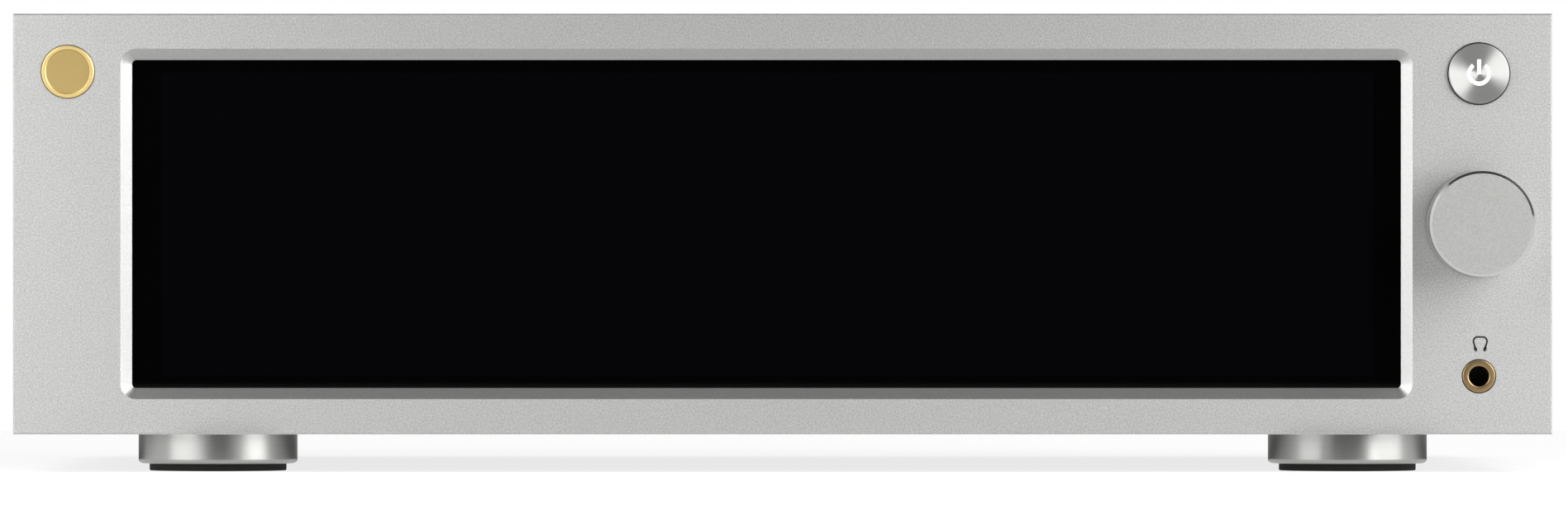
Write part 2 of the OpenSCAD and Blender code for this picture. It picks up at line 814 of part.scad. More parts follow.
// A slot with round ends, its length along the depth
module slot(w, l) {
    square([w, l - w], center = true);
    for (y = [w / 2 - l / 2, l / 2 - w / 2]) translate([0, y]) circle(d = w);
}

// A screw that points down, with its head's underside at the origin and a key socket on top
module pan_screw(d, head_d, head_h, l) {
    difference() {
        union() {
            cylinder(d = head_d, h = head_h);
            translate([0, 0, -l]) cylinder(d = d, h = l);
        }
        translate([0, 0, head_h - key_h]) key_socket();
    }
}

// A countersunk screw that points down, with the top of its head at the origin
module flat_screw() {
    difference() {
        union() {
            translate([0, 0, -screw_head_h]) cylinder(d1 = screw_d, d2 = screw_head, h = screw_head_h);
            translate([0, 0, -screw_l]) cylinder(d = screw_d, h = screw_l - screw_head_h);
        }
        translate([0, 0, -key_h]) key_socket();
    }
}

module key_socket() {
    cylinder(d = key_w / cos(30), h = key_h + over, $fn = 6);
}

// The hole that a countersunk screw leaves in the plate that it holds
module flat_screw_hole(plate_t) {
    r = screw_d / 2 + screw_gap;
    head_r = screw_head / 2 + screw_gap;
    translate([0, 0, -screw_head_h]) cylinder(r1 = r, r2 = head_r, h = screw_head_h);
    cylinder(r = head_r, h = over);
    translate([0, 0, -plate_t - over]) cylinder(r = r, h = plate_t + over);
}

// The front

// A funnel with the bevel's slope, widest in front
module window_funnel() {
    t = bevel + over;
    x = window_w / 2;
    z = window_h / 2;
    translate([0, 0, window_r - z]) linear_extrude(window_h - 2 * window_r)
        polygon([[-x - t, -over], [x + t, -over], [x, bevel], [-x, bevel]]);
    across(window_r - x, x - window_r)
        polygon([[-over, -z - t], [-over, z + t], [bevel, z], [bevel, -z]]);
    for (cx = [window_r - x, x - window_r], cz = [window_r - z, z - window_r])
        translate([cx, -over, cz]) rotate([-90, 0, 0])
            cylinder(r1 = window_r + t, r2 = window_r, h = t);
}

// A plate with its four front edges broken
module panel_blank() {
    x = panel_w / 2;
    e = panel_edge;
    intersection() {
        translate([0, 0, foot_clear]) linear_extrude(panel_h)
            polygon([[e - x, 0], [x - e, 0], [x, e], [x, panel_t], [-x, panel_t], [-x, e]]);
        across(-x, x) polygon([
            [0, foot_clear + e], [e, foot_clear], [panel_t, foot_clear],
            [panel_t, top_z], [e, top_z], [0, top_z - e]
        ]);
    }
}

module front_panel() {
    color(silver) placed() difference() {
        panel_blank();
        translate([window_x, 0, mid_z]) {
            window_funnel();
            through(bevel / 2, glass_at + over) round_rect(window_w, window_h, window_r);
            through(glass_at, panel_t + over) round_rect(pocket_w, pocket_h, glass_r + display_fit);
        }
        bar_y(control_x, button_z, button_d + 2 * button_gap, -over, panel_t + over);
        bar_y(control_x, knob_z, bush_d + 2 * bush_gap, -over, panel_t + over);
        bar_y(control_x, jack_z, collar_d + 2 * collar_gap, -over, panel_t + over);
        bar_y(badge_x, badge_z, badge_d + 2 * badge_gap, -over, badge_t - badge_proud);
        for (x = [-lug_x, lug_x], z = lug_zs)
            bar_y(x, z, screw_d + 2 * thread_fit, panel_t - lug_screw_l - over, panel_t + over);
        for (x = ear_xs, z = ear_zs)
            bar_y(x, z, small_d + 2 * thread_fit, panel_t - small_l - over, panel_t + over);
    }
}

module display_glass() {
    color(black) placed() translate([window_x, 0, mid_z])
        through(glass_at, lcd_at) round_rect(glass_w, glass_h, glass_r);
}

module lcd_module() {
    color(dark) placed()
        block(window_x, mid_z, glass_w - 2 * lcd_inset, glass_h - 2 * lcd_inset, lcd_at, panel_t);
}

module display_bracket() {
    ear_span = pocket_w + 2 * ear_w;
    color(steel) placed() difference() {
        union() {
            block(window_x, mid_z, pocket_w + ear_w / 2, pocket_h, panel_t, panel_t + clamp_t);
            for (z = ear_zs) block(window_x, z, ear_span, ear_h, panel_t, panel_t + clamp_t);
        }
        block(window_x, mid_z, pocket_w - 2 * clamp_rim, pocket_h - 2 * clamp_rim,
            panel_t - over, panel_t + clamp_t + over);
        for (x = ear_xs, z = ear_zs)
            bar_y(x, z, small_d + 2 * screw_gap, panel_t - over, panel_t + clamp_t + over);
    }
}

module display_screws() {
    color(steel) placed() for (x = ear_xs, z = ear_zs)
        translate([x, panel_t + clamp_t, z]) rotate([-90, 0, 0])
            pan_screw(small_d, small_head, small_head_h, clamp_t + small_l);
}

module badge() {
    r = badge_d / 2;
    color(gold) placed() turned(badge_x, badge_z, [
        [0, badge_field - badge_proud], [r - badge_rim, badge_field - badge_proud],
        [r - badge_rim + badge_field, -badge_proud], [r - badge_field, -badge_proud],
        [r, badge_field - badge_proud], [r, badge_t - badge_proud], [0, badge_t - badge_proud]
    ]);
}

// The power symbol: a ring open at the top with a bar in the opening, grown by a clearance
module power_mark(grow) {
    r = symbol_d / 2;
    wide = symbol_stroke + 2 * grow;
    side = symbol_d * tan(symbol_open);
    difference() {
        circle(r + grow);
        circle(r - symbol_stroke - grow);
        polygon([[-grow, 0], [side - grow, symbol_d], [grow - side, symbol_d], [grow, 0]]);
    }
    translate([-wide / 2, -bar_bottom - grow]) square([wide, bar_top + bar_bottom + 2 * grow]);
}

module power_button() {
    r = button_d / 2;
    c = button_chamfer;
    inside = guide_d / 2 + guide_fit;
    back = flange_at + button_flange;
    color(satin) placed() difference() {
        turned(control_x, button_z, [
            [0, -button_proud], [r - c, -button_proud], [r, c - button_proud], [r, flange_at],
            [r + button_flange, flange_at], [r + button_flange, back], [inside, back],
            [inside, button_wall - button_proud], [0, button_wall - button_proud]
        ]);
        translate([control_x, 0, button_z])
            through(-button_proud - over, button_wall + over - button_proud) power_mark(guide_fit);
    }
}

// The symbol, the clear core behind it and the stem that presses the switch
module light_guide() {
    core_at = button_wall - button_proud;
    core_end = flange_at + button_flange;
    color(white) placed() {
        translate([control_x, 0, button_z]) through(-button_proud, core_at) power_mark(0);
        bar_y(control_x, button_z, guide_d, core_at, core_end);
        bar_y(control_x, button_z, plunger_d, core_end, plunger_at);
    }
}

module switch_plunger() {
    color(black) placed()
        bar_y(control_x, button_z, plunger_d, plunger_at, control_at - switch_h + plunger_in);
}

module power_switch() {
    top = control_at - switch_h;
    color(dark) placed() difference() {
        block(control_x, button_z, switch_w, switch_w, top, control_at);
        bar_y(control_x, button_z, plunger_d + 2 * plunger_gap,
            top - over, top + plunger_in + button_travel + 2 * plunger_gap);
    }
}

module volume_knob() {
    r = knob_d / 2;
    c = knob_chamfer;
    bore = shaft_d / 2 + shaft_fit;
    rim = r - knob_rim;
    color(satin) placed() turned(control_x, knob_z, [
        [0, -knob_proud], [r - c, -knob_proud], [r, c - knob_proud], [r, -knob_gap],
        [rim, -knob_gap], [rim, -knob_gap - knob_hollow], [hub_d / 2, -knob_gap - knob_hollow],
        [hub_d / 2, -knob_gap], [bore, -knob_gap], [bore, -knob_gap - shaft_grip - shaft_fit],
        [0, -knob_gap - shaft_grip - shaft_fit]
    ]);
}

module encoder_shaft() {
    tip = -knob_gap - shaft_grip;
    color(steel) placed() difference() {
        bar_y(control_x, knob_z, shaft_d, tip, encoder_at + shaft_in);
        block(control_x, knob_z + shaft_d - shaft_flat, shaft_d, shaft_d, tip - over, -knob_gap);
    }
}

module encoder_body() {
    color(steel) placed() difference() {
        union() {
            block(control_x, knob_z, encoder_w, encoder_w, encoder_at, control_at);
            bar_y(control_x, knob_z, bush_d, bush_at, encoder_at);
        }
        bar_y(control_x, knob_z, shaft_d + 2 * shaft_fit, bush_at - over, encoder_at + shaft_in + shaft_fit);
    }
}

module jack_collar() {
    r = collar_d / 2;
    bore = jack_bore / 2;
    front = -collar_proud;
    color(gold) placed() turned(control_x, jack_z, [
        [bore + bore_chamfer, front], [r - collar_chamfer, front], [r, front + collar_chamfer],
        [r, jack_at], [bore, jack_at], [bore, front + bore_chamfer]
    ]);
}

module headphone_jack() {
    color(black) placed() difference() {
        block(control_x, jack_z, jack_w, jack_w, jack_at, control_at);
        bar_y(control_x, jack_z, jack_bore + contact_room, jack_at - over, control_at - jack_back);
    }
}

module control_board() {
    color(green) placed() difference() {
        box([control_x - control_left, control_at, jack_z - control_ends],
            [inner_x - lug_t - board_gap, control_at + board_t, button_z + control_ends]);
        for (z = lug_zs)
            bar_y(lug_x, z, small_d + 2 * screw_gap, control_at - over, control_at + board_t + over);
    }
}

// One corner bracket between the panel and the right side panel
module panel_bracket(z) {
    half = lug_h / 2;
    difference() {
        union() {
            box([clamp_edge + lug_gap, panel_t, z - half], [inner_x, panel_t + lug_t, z + half]);
            box([inner_x - lug_t, panel_t, z - half], [inner_x, panel_t + lug_l, z + half]);
        }
        bar_y(lug_x, z, screw_d + 2 * screw_gap, panel_t - over, panel_t + lug_t + over);
        bar_x(lug_screw_at, z, screw_d + 2 * screw_gap, inner_x - lug_t - over, inner_x + over);
    }
}

module panel_brackets() {
    color(satin) placed() for (side = [0, 1], z = lug_zs)
        mirror([side, 0, 0]) panel_bracket(z);
}

// A hexagonal standoff that stands up, with a stud below and a tapped hole above
module standoff(h, stud_d, stud_l) {
    difference() {
        union() {
            cylinder(d = hex_w / cos(30), h = h, $fn = 6);
            translate([0, 0, -stud_l]) cylinder(d = stud_d, h = stud_l);
        }
        translate([0, 0, h - small_l - board_t]) cylinder(d = small_d + 2 * thread_fit, h = h);
    }
}

module standoffs() {
    color(steel) placed() {
        for (z = lug_zs) translate([lug_x, panel_t + lug_t, z]) rotate([-90, 0, 0])
            standoff(control_reach - lug_t, screw_d, lug_t + lug_screw_l);
        for (p = concat(main_holes, supply_holes, audio_holes))
            translate([p[0], p[1], floor_z]) standoff(board_rise, rivet_d, base_t);
        for (p = audio_holes)
            translate([p[0], p[1], board_top]) standoff(audio_rise, small_d, board_t + small_l);
    }
}

// Screws inside the case: the control board's, the brackets' and the circuit boards'
module inner_screws() {
    color(steel) placed() {
        for (z = lug_zs) {
            translate([lug_x, control_at + board_t, z]) rotate([-90, 0, 0])
                pan_screw(small_d, small_head, small_head_h, board_t + small_l);
            translate([-lug_x, panel_t + lug_t, z]) rotate([-90, 0, 0])
                pan_screw(screw_d, screw_head, screw_head_h, lug_t + lug_screw_l);
            for (side = [0, 1]) mirror([side, 0, 0])
                translate([inner_x - lug_t, lug_screw_at, z]) rotate([0, -90, 0])
                    pan_screw(screw_d, screw_head, screw_head_h, lug_t + lug_screw_l);
        }
        for (p = concat(main_holes, supply_holes)) translate([p[0], p[1], board_top])
            pan_screw(small_d, small_head, small_head_h, board_t + small_l);
        for (p = audio_holes) translate([p[0], p[1], audio_top])
            pan_screw(small_d, small_head, small_head_h, board_t + small_l);
    }
}

// The case

// The right side panel, with tapped holes for the cover, the base, the rear panel and the brackets
module side_panel() {
    hole = screw_d + 2 * thread_fit;
    difference() {
        box([inner_x, panel_t, floor_z], [body_x, rear_in, roof_z]);
        for (at = case_screw_ats) {
            bar_z(side_mid, at, hole, cover_z - screw_l - over, roof_z + over);
            bar_z(side_mid, at, hole, floor_z - over, base_z + screw_l + over);
        }
        for (z = rear_screw_zs) bar_y(side_mid, z, hole, body_d - screw_l - over, rear_in + over);
        for (z = lug_zs) bar_x(lug_screw_at, z, hole, inner_x - over, inner_x + lug_screw_l + thread_fit);
    }
}

module left_side_panel() {
    color(silver) placed() mirror([1, 0, 0]) side_panel();
}

module right_side_panel() {
    color(silver) placed() side_panel();
}

// A row of slots through a plate, centred across the case
module vents(n, l, at, low, high) {
    for (i = [0 : n - 1])
        translate([(i - (n - 1) / 2) * vent_pitch, at, low]) linear_extrude(high - low) slot(vent_w, l);
}

module top_cover() {
    e = cover_edge;
    color(silver) placed() difference() {
        through(panel_t, body_d) polygon([
            [-body_x, roof_z], [body_x, roof_z], [body_x, cover_z - e],
            [body_x - e, cover_z], [e - body_x, cover_z], [-body_x, cover_z - e]
        ]);
        for (x = [-side_mid, side_mid], at = case_screw_ats)
            translate([x, at, cover_z]) flat_screw_hole(cover_t);
        vents(vent_n, vent_l, vent_at, roof_z - over, cover_z + over);
    }
}

module bottom_plate() {
    color(silver) placed() difference() {
        box([-body_x, panel_t, base_z], [body_x, body_d, floor_z]);
        for (x = [-side_mid, side_mid], at = case_screw_ats)
            translate([x, at, base_z]) rotate([180, 0, 0]) flat_screw_hole(base_t);
        for (p = foot_places)
            bar_z(p[0], p[1], foot_screw_d + 2 * thread_fit, base_z - over, floor_z + over);
        for (p = concat(main_holes, supply_holes, audio_holes))
            bar_z(p[0], p[1], rivet_d + 2 * thread_fit, base_z - over, floor_z + over);
        vents(base_vent_n, base_vent_l, (panel_t + body_d) / 2, base_z - over, floor_z + over);
    }
}

module rear_panel() {
    gap = 2 * port_gap;
    from = rear_in - over;
    to = body_d + over;
    color(silver) placed() difference() {
        box([-body_x, rear_in, floor_z], [body_x, body_d, roof_z]);
        for (x = [-side_mid, side_mid], z = rear_screw_zs)
            translate([x, body_d, z]) rotate([-90, 0, 0]) flat_screw_hole(rear_t);
        block(inlet_x, inlet_z, inlet_w + gap, inlet_h + gap, from, to);
        block(inlet_x, rocker_z, housing_w + gap, housing_h + gap, from, to);
        for (x = rca_xs) bar_y(x, rca_z, rca_d + gap, from, to);
        for (x = optical_xs) block(x, optical_z, optical_w + gap, optical_h + gap, from, to);
        for (x = hdmi_xs) block(x, hdmi_z, hdmi_w + gap, hdmi_h + gap, from, to);
        block(usb_x, usb_z, usb_w + gap, usb_h + gap, from, to);
        block(lan_x, lan_z, lan_w + gap, lan_h + gap, from, to);
        for (x = trigger_xs) bar_y(x, trigger_z, trigger_nose + gap, from, to);
    }
}

module cover_screws() {
    color(steel) placed() for (x = [-side_mid, side_mid], at = case_screw_ats)
        translate([x, at, cover_z]) flat_screw();
}

module base_screws() {
    color(steel) placed() for (x = [-side_mid, side_mid], at = case_screw_ats)
        translate([x, at, base_z]) rotate([180, 0, 0]) flat_screw();
}

module rear_screws() {
    color(steel) placed() for (x = [-side_mid, side_mid], z = rear_screw_zs)
        translate([x, body_d, z]) rotate([-90, 0, 0]) flat_screw();
}

// A turned foot with a recess for its pad and a seat for its screw
module foot(place) {
    r = foot_d / 2;
    c = foot_round;
    hole = foot_screw_d / 2 + screw_gap;
    head = foot_head / 2 + screw_gap;
    pad = pad_d / 2 + pad_fit;
    recess = [[hole, foot_seat], [head, foot_seat], [head, pad_roof], [pad, pad_roof], [pad, pad_proud]];
    edge = [for (a = [0:30:90]) [r - c + c * sin(a), pad_proud + c - c * cos(a)]];
    color(satin) placed() translate([place[0], place[1], 0]) rotate_extrude()
        polygon(concat(recess, edge, [[r, base_z], [hole, base_z]]));
}

module foot_pads() {
    r = pad_d / 2;
    color(dark) placed() for (p = foot_places)
        translate([p[0], p[1], 0]) rotate_extrude()
            polygon([[0, 0], [r - pad_edge, 0], [r, pad_edge], [r, pad_roof], [0, pad_roof]]);
}

module foot_screws() {
    color(steel) placed() for (p = foot_places)
        translate([p[0], p[1], foot_seat]) rotate([180, 0, 0])
            pan_screw(foot_screw_d, foot_head, foot_head_h, floor_z - foot_seat);
}

// The electronics

// A circuit board between two corners, with holes for its screws
module circuit_board(low, high, holes) {
    difference() {
        box(low, high);
        for (p = holes) bar_z(p[0], p[1], small_d + 2 * screw_gap, low[2] - over, high[2] + over);
    }
}

module main_board() {
    color(green) placed()
        circuit_board([main_x0, main_at, board_z], [main_x1, board_end, board_top],
            concat(main_holes, audio_holes));
}

module audio_board() {
    color(green) placed()
        circuit_board([audio_x0, audio_at, audio_z], [main_x1, board_end, audio_top], audio_holes);
}

module supply_board() {
    color(green) placed()
        circuit_board([supply_x0, supply_at, board_z], [supply_x1, supply_end, board_top], supply_holes);
}

// The processor with memory beside it on the main board, and two converters on the audio board
module board_chips() {
    color(black) placed() {
        translate([chip_x - chip_w / 2, chip_at - chip_w / 2, board_top]) cube([chip_w, chip_w, chip_h]);
        for (i = [-1, 1])
            translate([chip_x + i * (sink_w + small_chip_w) / 2 + (i - 1) * small_chip_w / 2 + i,
                chip_at - small_chip_w / 2, board_top])
                cube([small_chip_w, small_chip_w, chip_h]);
        for (i = [1, 2])
            translate([audio_x0 + i * audio_w / 3 - small_chip_w / 2,
                audio_at + board_screw_back, audio_top])
                cube([small_chip_w, small_chip_w, chip_h]);
    }
}

module heatsink() {
    low = board_top + chip_h;
    step = (sink_w - sink_fin_t) / (sink_fin_n - 1);
    color(dark) placed() translate([chip_x - sink_w / 2, chip_at - sink_w / 2, low]) {
        cube([sink_w, sink_w, sink_base]);
        for (i = [0 : sink_fin_n - 1])
            translate([i * step, 0, 0]) cube([sink_fin_t, sink_w, sink_base + sink_fin_h]);
    }
}

module supply_transformer() {
    at = supply_at + supply_l / 3;
    color(dark) placed() translate([supply_mid, at, board_top]) {
        translate([-trans_w / 2, -trans_l / 2, 0]) cube([trans_w, trans_l, trans_h]);
        translate([-trans_w / 2 - trans_coil, -trans_l / 4, 0])
            cube([trans_w + 2 * trans_coil, trans_l / 2, trans_h - trans_coil]);
    }
}

module supply_capacitors() {
    at = supply_at + supply_l / 3 + trans_l / 2 + cap_d;
    color(black) placed() for (x = [supply_mid - cap_d, supply_mid + cap_d])
        bar_z(x, at, cap_d, board_top, board_top + cap_h);
}

// A folded plate that keeps the supply apart from the signal boards
module shield_plate() {
    color(steel) placed() translate([0, rear_in - shield_l, 0]) {
        box([shield_x, 0, floor_z], [shield_x + shield_t, shield_l, floor_z + shield_h]);
        box([shield_x - shield_foot, 0, floor_z], [shield_x + shield_t, shield_l, floor_z + shield_t]);
    }
}

// A flat cable that runs back from a depth and down to the main board
module ribbon(x, w, from) {
    end = main_at + ribbon_end;
    level = board_top + ribbon_rise;
    across(x - w / 2, x + w / 2) polygon([
        [from, level], [end, level], [end, board_top], [end - ribbon_t, board_top],
        [end - ribbon_t, level - ribbon_t], [from, level - ribbon_t]
    ]);
}

module ribbon_cables() {
    color(white) placed() {
        ribbon(window_x, ribbon_w, panel_t);
        ribbon(control_x - control_left + control_ribbon_w / 2, control_ribbon_w, control_at + board_t);
    }
}

// A wire that runs forward from a terminal and bends down to the supply board
module mains_wire(x, z, from, down_at) {
    bend_at = down_at + wire_bend;
    bar_y(x, z, wire_d, bend_at, from);
    translate([x, bend_at, z - wire_bend]) rotate([90, 0, -90]) rotate_extrude(angle = 90)
        translate([wire_bend, 0]) circle(d = wire_d);
    bar_z(x, down_at, wire_d, board_top, z - wire_bend);
}

module mains_wires() {
    color(dark) placed() {
        for (i = [0, 1])
            mains_wire(blade_places[i][0], blade_places[i][1], inlet_back - blade_tail, wire_ats[0]);
        for (x = [inlet_x - housing_w / 4, inlet_x + housing_w / 4])
            mains_wire(x, rocker_z, body_d - housing_l, wire_ats[1]);
    }
}

// The rear

// The space for the mains plug, with its two upper corners cut
module plug_outline() {
    x = plug_w / 2;
    z = plug_h / 2;
    c = plug_corner;
    polygon([[-x, -z], [x, -z], [x, z - c], [x - c, z], [c - x, z], [-x, z - c]]);
}

module mains_inlet() {
    color(black) placed() difference() {
        union() {
            block(inlet_x, inlet_z, inlet_w, inlet_h, inlet_back, body_d);
            block(inlet_x, inlet_z, inlet_w + 2 * flange_w, inlet_h + 2 * flange_w, body_d, mouth);
        }
        translate([inlet_x, 0, plug_z]) through(mouth - plug_l, mouth + over) plug_outline();
        for (p = blade_places)
            block(p[0], p[1], blade_t + 2 * blade_fit, blade_h + 2 * blade_fit, inlet_back - over, mouth);
        block(inlet_x, drawer_z, drawer_w + 2 * drawer_gap, drawer_h + 2 * drawer_gap,
            drawer_at - drawer_gap, mouth + over);
    }
}

module mains_blades() {
    color(steel) placed() for (p = blade_places)
        block(p[0], p[1], blade_t, blade_h, inlet_back - blade_tail, mouth - blade_sink);
}

module fuse_drawer() {
    face = mouth + drawer_gap;
    trough = fuse_d + 2 * fuse_gap;
    color(dark) placed() difference() {
        union() {
            block(inlet_x, drawer_z, drawer_w, drawer_h, drawer_at, face);
            block(inlet_x, drawer_z, drawer_w + 2 * drawer_lip, drawer_h + 2 * drawer_lip,
                face, face + drawer_face);
        }
        bar_x(fuse_at, drawer_z, trough, inlet_x - fuse_l / 2 - fuse_gap, inlet_x + fuse_l / 2 + fuse_gap);
        block(inlet_x, drawer_z + drawer_h / 2, fuse_l + 2 * fuse_gap, drawer_h,
            fuse_at - trough / 2, fuse_at + trough / 2);
    }
}

module fuse() {
    color(white) placed() bar_x(fuse_at, drawer_z, fuse_d, inlet_x - fuse_l / 2, inlet_x + fuse_l / 2);
}

module switch_housing() {
    well_w = rocker_w + 2 * rocker_end_gap;
    well_h = rocker_h + 2 * rocker_gap;
    well_at = pivot_at - rocker_tail - rocker_room;
    color(black) placed() difference() {
        union() {
            block(inlet_x, rocker_z, housing_w, housing_h, body_d - housing_l, body_d);
            block(inlet_x, rocker_z, housing_w + 2 * flange_w, housing_h + 2 * flange_w, body_d, mouth);
        }
        block(inlet_x, rocker_z, well_w, well_h, well_at, mouth + over);
        bar_z(inlet_x, pivot_at, pivot_d + 2 * pivot_fit, rocker_z - housing_h / 2, rocker_z + housing_h / 2);
    }
}

// A rocker with a valley in the middle, pressed in on its left, on two pivot pins
module mains_rocker() {
    x = rocker_w / 2;
    tail = rocker_tail_w / 2;
    pin_l = housing_h - 2 * pivot_fit;
    color(black) placed() translate([inlet_x, pivot_at, rocker_z]) rotate([0, 0, rocker_tilt]) {
        translate([0, 0, -rocker_h / 2]) linear_extrude(rocker_h) polygon([
            [-x, rocker_end], [-x, 0], [-tail, -rocker_tail], [tail, -rocker_tail],
            [x, 0], [x, rocker_end], [0, rocker_rise_mid]
        ]);
        translate([0, 0, -pin_l / 2]) cylinder(d = pivot_d, h = pin_l);
    }
}

module phono_shells() {
    r = rca_d / 2;
    inside = r - rca_wall;
    out = body_d + rca_proud;
    color(gold) placed() for (x = rca_xs) turned(x, rca_z, [
        [inside, rear_in], [r, rear_in], [r, body_d], [rca_flange_d / 2, body_d],
        [rca_flange_d / 2, body_d + rca_flange_t], [r, body_d + rca_flange_t], [r, out], [inside, out]
    ]);
}

module phono_insulators() {
    core = rca_d - 2 * rca_wall - 2 * rca_fit;
    out = body_d + rca_proud - rca_sink;
    color(white) placed() for (x = rca_xs) difference() {
        union() {
            bar_y(x, rca_z, core, rear_in, out);
            box([x - rca_body_w / 2, rca_back, audio_top],
                [x + rca_body_w / 2, rear_in, rca_z + rca_body_w / 2]);
        }
        bar_y(x, rca_z, rca_bore, out - rca_bore_l, out + over);
    }
}

module optical_ports() {
    color(black) placed() for (x = optical_xs) difference() {
        block(x, optical_z, optical_w, optical_h, port_front - optical_l, port_front);
        block(x, optical_z, optical_hole, optical_hole, port_front - optical_hole_l, port_front + over);
        bar_x(shutter_at, shutter_z, shutter_pin + 2 * pivot_fit,
            x - optical_hole / 2 - shutter_pin_l - pivot_fit,
            x + optical_hole / 2 + shutter_pin_l + pivot_fit);
    }
}

// A flap that hangs on its pin just inside an optical port
module optical_shutter(x) {
    half = optical_hole / 2 - shutter_gap;
    low = optical_z - half;
    color(dark) placed() {
        box([x - half, shutter_at - shutter_t / 2, low], [x + half, shutter_at + shutter_t / 2, shutter_z]);
        bar_x(shutter_at, shutter_z, shutter_pin,
            x - optical_hole / 2 - shutter_pin_l, x + optical_hole / 2 + shutter_pin_l);
    }
}

module optical_shutter_in() {
    optical_shutter(optical_xs[0]);
}

module optical_shutter_out() {
    optical_shutter(optical_xs[1]);
}

module usb_port() {
    color(steel) placed() difference() {
        block(usb_x, usb_z, usb_w, usb_h, port_front - usb_l, port_front);
        for (z = usb_zs)
            block(usb_x, z, usb_hole_w, usb_hole_h, port_front - port_hole_l, port_front + over);
    }
}

module hdmi_ports() {
    x = hdmi_w / 2 - shell_t;
    z = hdmi_h / 2 - shell_t;
    c = hdmi_corner;
    color(steel) placed() for (port_x = hdmi_xs) difference() {
        block(port_x, hdmi_z, hdmi_w, hdmi_h, port_front - hdmi_l, port_front);
        translate([port_x, 0, hdmi_z]) through(port_front - port_hole_l, port_front + over)
            polygon([[c - x, -z], [x - c, -z], [x, c - z], [x, z], [-x, z], [-x, c - z]]);
    }
}

// The tongues that carry the contacts of the USB and HDMI ports
module port_tongues() {
    from = port_front - port_hole_l;
    to = port_front - tongue_sink;
    color(black) placed() {
        for (z = usb_zs)
            block(usb_x, z + usb_tongue_rise, usb_hole_w - 2 * tongue_gap, usb_tongue_t, from, to);
        for (x = hdmi_xs)
            block(x, hdmi_z, hdmi_w - 2 * shell_t - 2 * tongue_gap, hdmi_tongue_t, from, to);
    }
}

module network_port() {
    from = port_front - lan_hole_l;
    color(steel) placed() difference() {
        block(lan_x, lan_z, lan_w, lan_h, port_front - lan_l, port_front);
        block(lan_x, lan_z, lan_hole_w, lan_hole_h, from, port_front + over);
        block(lan_x, lan_z - lan_hole_h / 2, latch_w, 2 * latch_h, from, port_front + over);
    }
}

module trigger_sockets() {
    color(black) placed() for (x = trigger_xs) difference() {
        union() {
            block(x, trigger_z, trigger_w, trigger_w, rear_in - trigger_l, rear_in);
            bar_y(x, trigger_z, trigger_nose, rear_in, port_front);
        }
        bar_y(x, trigger_z, jack_bore, port_front - trigger_bore_l, port_front + over);
    }
}

front_panel();
display_glass();
lcd_module();
display_bracket();
display_screws();
badge();
power_button();
light_guide();
switch_plunger();
power_switch();
volume_knob();
encoder_shaft();
encoder_body();
jack_collar();
headphone_jack();
control_board();
panel_brackets();
standoffs();
inner_screws();
left_side_panel();
right_side_panel();
top_cover();
bottom_plate();
rear_panel();
cover_screws();
base_screws();
rear_screws();
foot(foot_places[0]);  // front_left_foot
foot(foot_places[1]);  // front_right_foot
foot(foot_places[2]);  // rear_left_foot
foot(foot_places[3]);  // rear_right_foot
foot_pads();
foot_screws();
main_board();
audio_board();
supply_board();
board_chips();
heatsink();
supply_transformer();
supply_capacitors();
shield_plate();
ribbon_cables();
mains_wires();
mains_inlet();
mains_blades();
fuse_drawer();
fuse();
switch_housing();
mains_rocker();
phono_shells();
phono_insulators();
optical_ports();
optical_shutter_in();
optical_shutter_out();
usb_port();
hdmi_ports();
port_tongues();
network_port();
trigger_sockets();
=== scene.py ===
import math

import bmesh
import bpy
from mathutils import Matrix, Vector


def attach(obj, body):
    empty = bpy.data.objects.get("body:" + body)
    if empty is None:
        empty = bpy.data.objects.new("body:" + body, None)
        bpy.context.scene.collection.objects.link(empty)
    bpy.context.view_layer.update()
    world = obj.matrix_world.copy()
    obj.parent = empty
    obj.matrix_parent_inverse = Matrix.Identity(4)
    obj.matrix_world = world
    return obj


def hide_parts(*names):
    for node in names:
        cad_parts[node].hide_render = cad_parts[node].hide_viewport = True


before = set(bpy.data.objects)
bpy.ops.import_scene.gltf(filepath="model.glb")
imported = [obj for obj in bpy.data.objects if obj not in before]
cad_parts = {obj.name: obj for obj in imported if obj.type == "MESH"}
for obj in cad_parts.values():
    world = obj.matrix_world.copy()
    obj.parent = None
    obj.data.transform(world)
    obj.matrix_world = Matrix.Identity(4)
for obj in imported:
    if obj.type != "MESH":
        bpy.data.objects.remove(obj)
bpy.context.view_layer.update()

# Front panel: one plate of aluminium, 8 mm thick, milled with a bevelled window, then blasted with
# glass beads and anodised silver. It is screwed from behind to four brackets on the side panels.
MM = 0.001
FRONT_Y = -99 * MM
BEVEL_Y = FRONT_Y + 0.06 * MM
WINDOW_X = -2.925 * MM
MID_Z = 44.9 * MM
BEVEL_HALF_W = 117.1 * MM
BEVEL_HALF_H = 31.9 * MM
BEAD_MARK = 0.3 * MM
BEAD_FINE = 0.14 * MM
BEAD_DEPTH = 0.05 * MM


def linear(code):
    """An sRGB hex colour as linear red, green, blue and alpha."""
    parts = [int(code[i:i + 2], 16) / 255 for i in (1, 3, 5)]
    return [c / 12.92 if c <= 0.04045 else ((c + 0.055) / 1.055) ** 2.4 for c in parts] + [1]


def add(material, kind, inputs, **settings):
    """Adds one shader node. An input takes a value or another node's output."""
    made = material.node_tree.nodes.new("ShaderNode" + kind)
    for key, value in settings.items():
        setattr(made, key, value)
    for key, value in inputs.items():
        if isinstance(value, bpy.types.NodeSocket):
            material.node_tree.links.new(value, made.inputs[key])
        else:
            made.inputs[key].default_value = value
    return made.outputs


def finish_named(name):
    """An empty material for a finish of this part."""
    material = bpy.data.materials.new(name)
    material.use_nodes = True
    material.node_tree.nodes.clear()
    return material


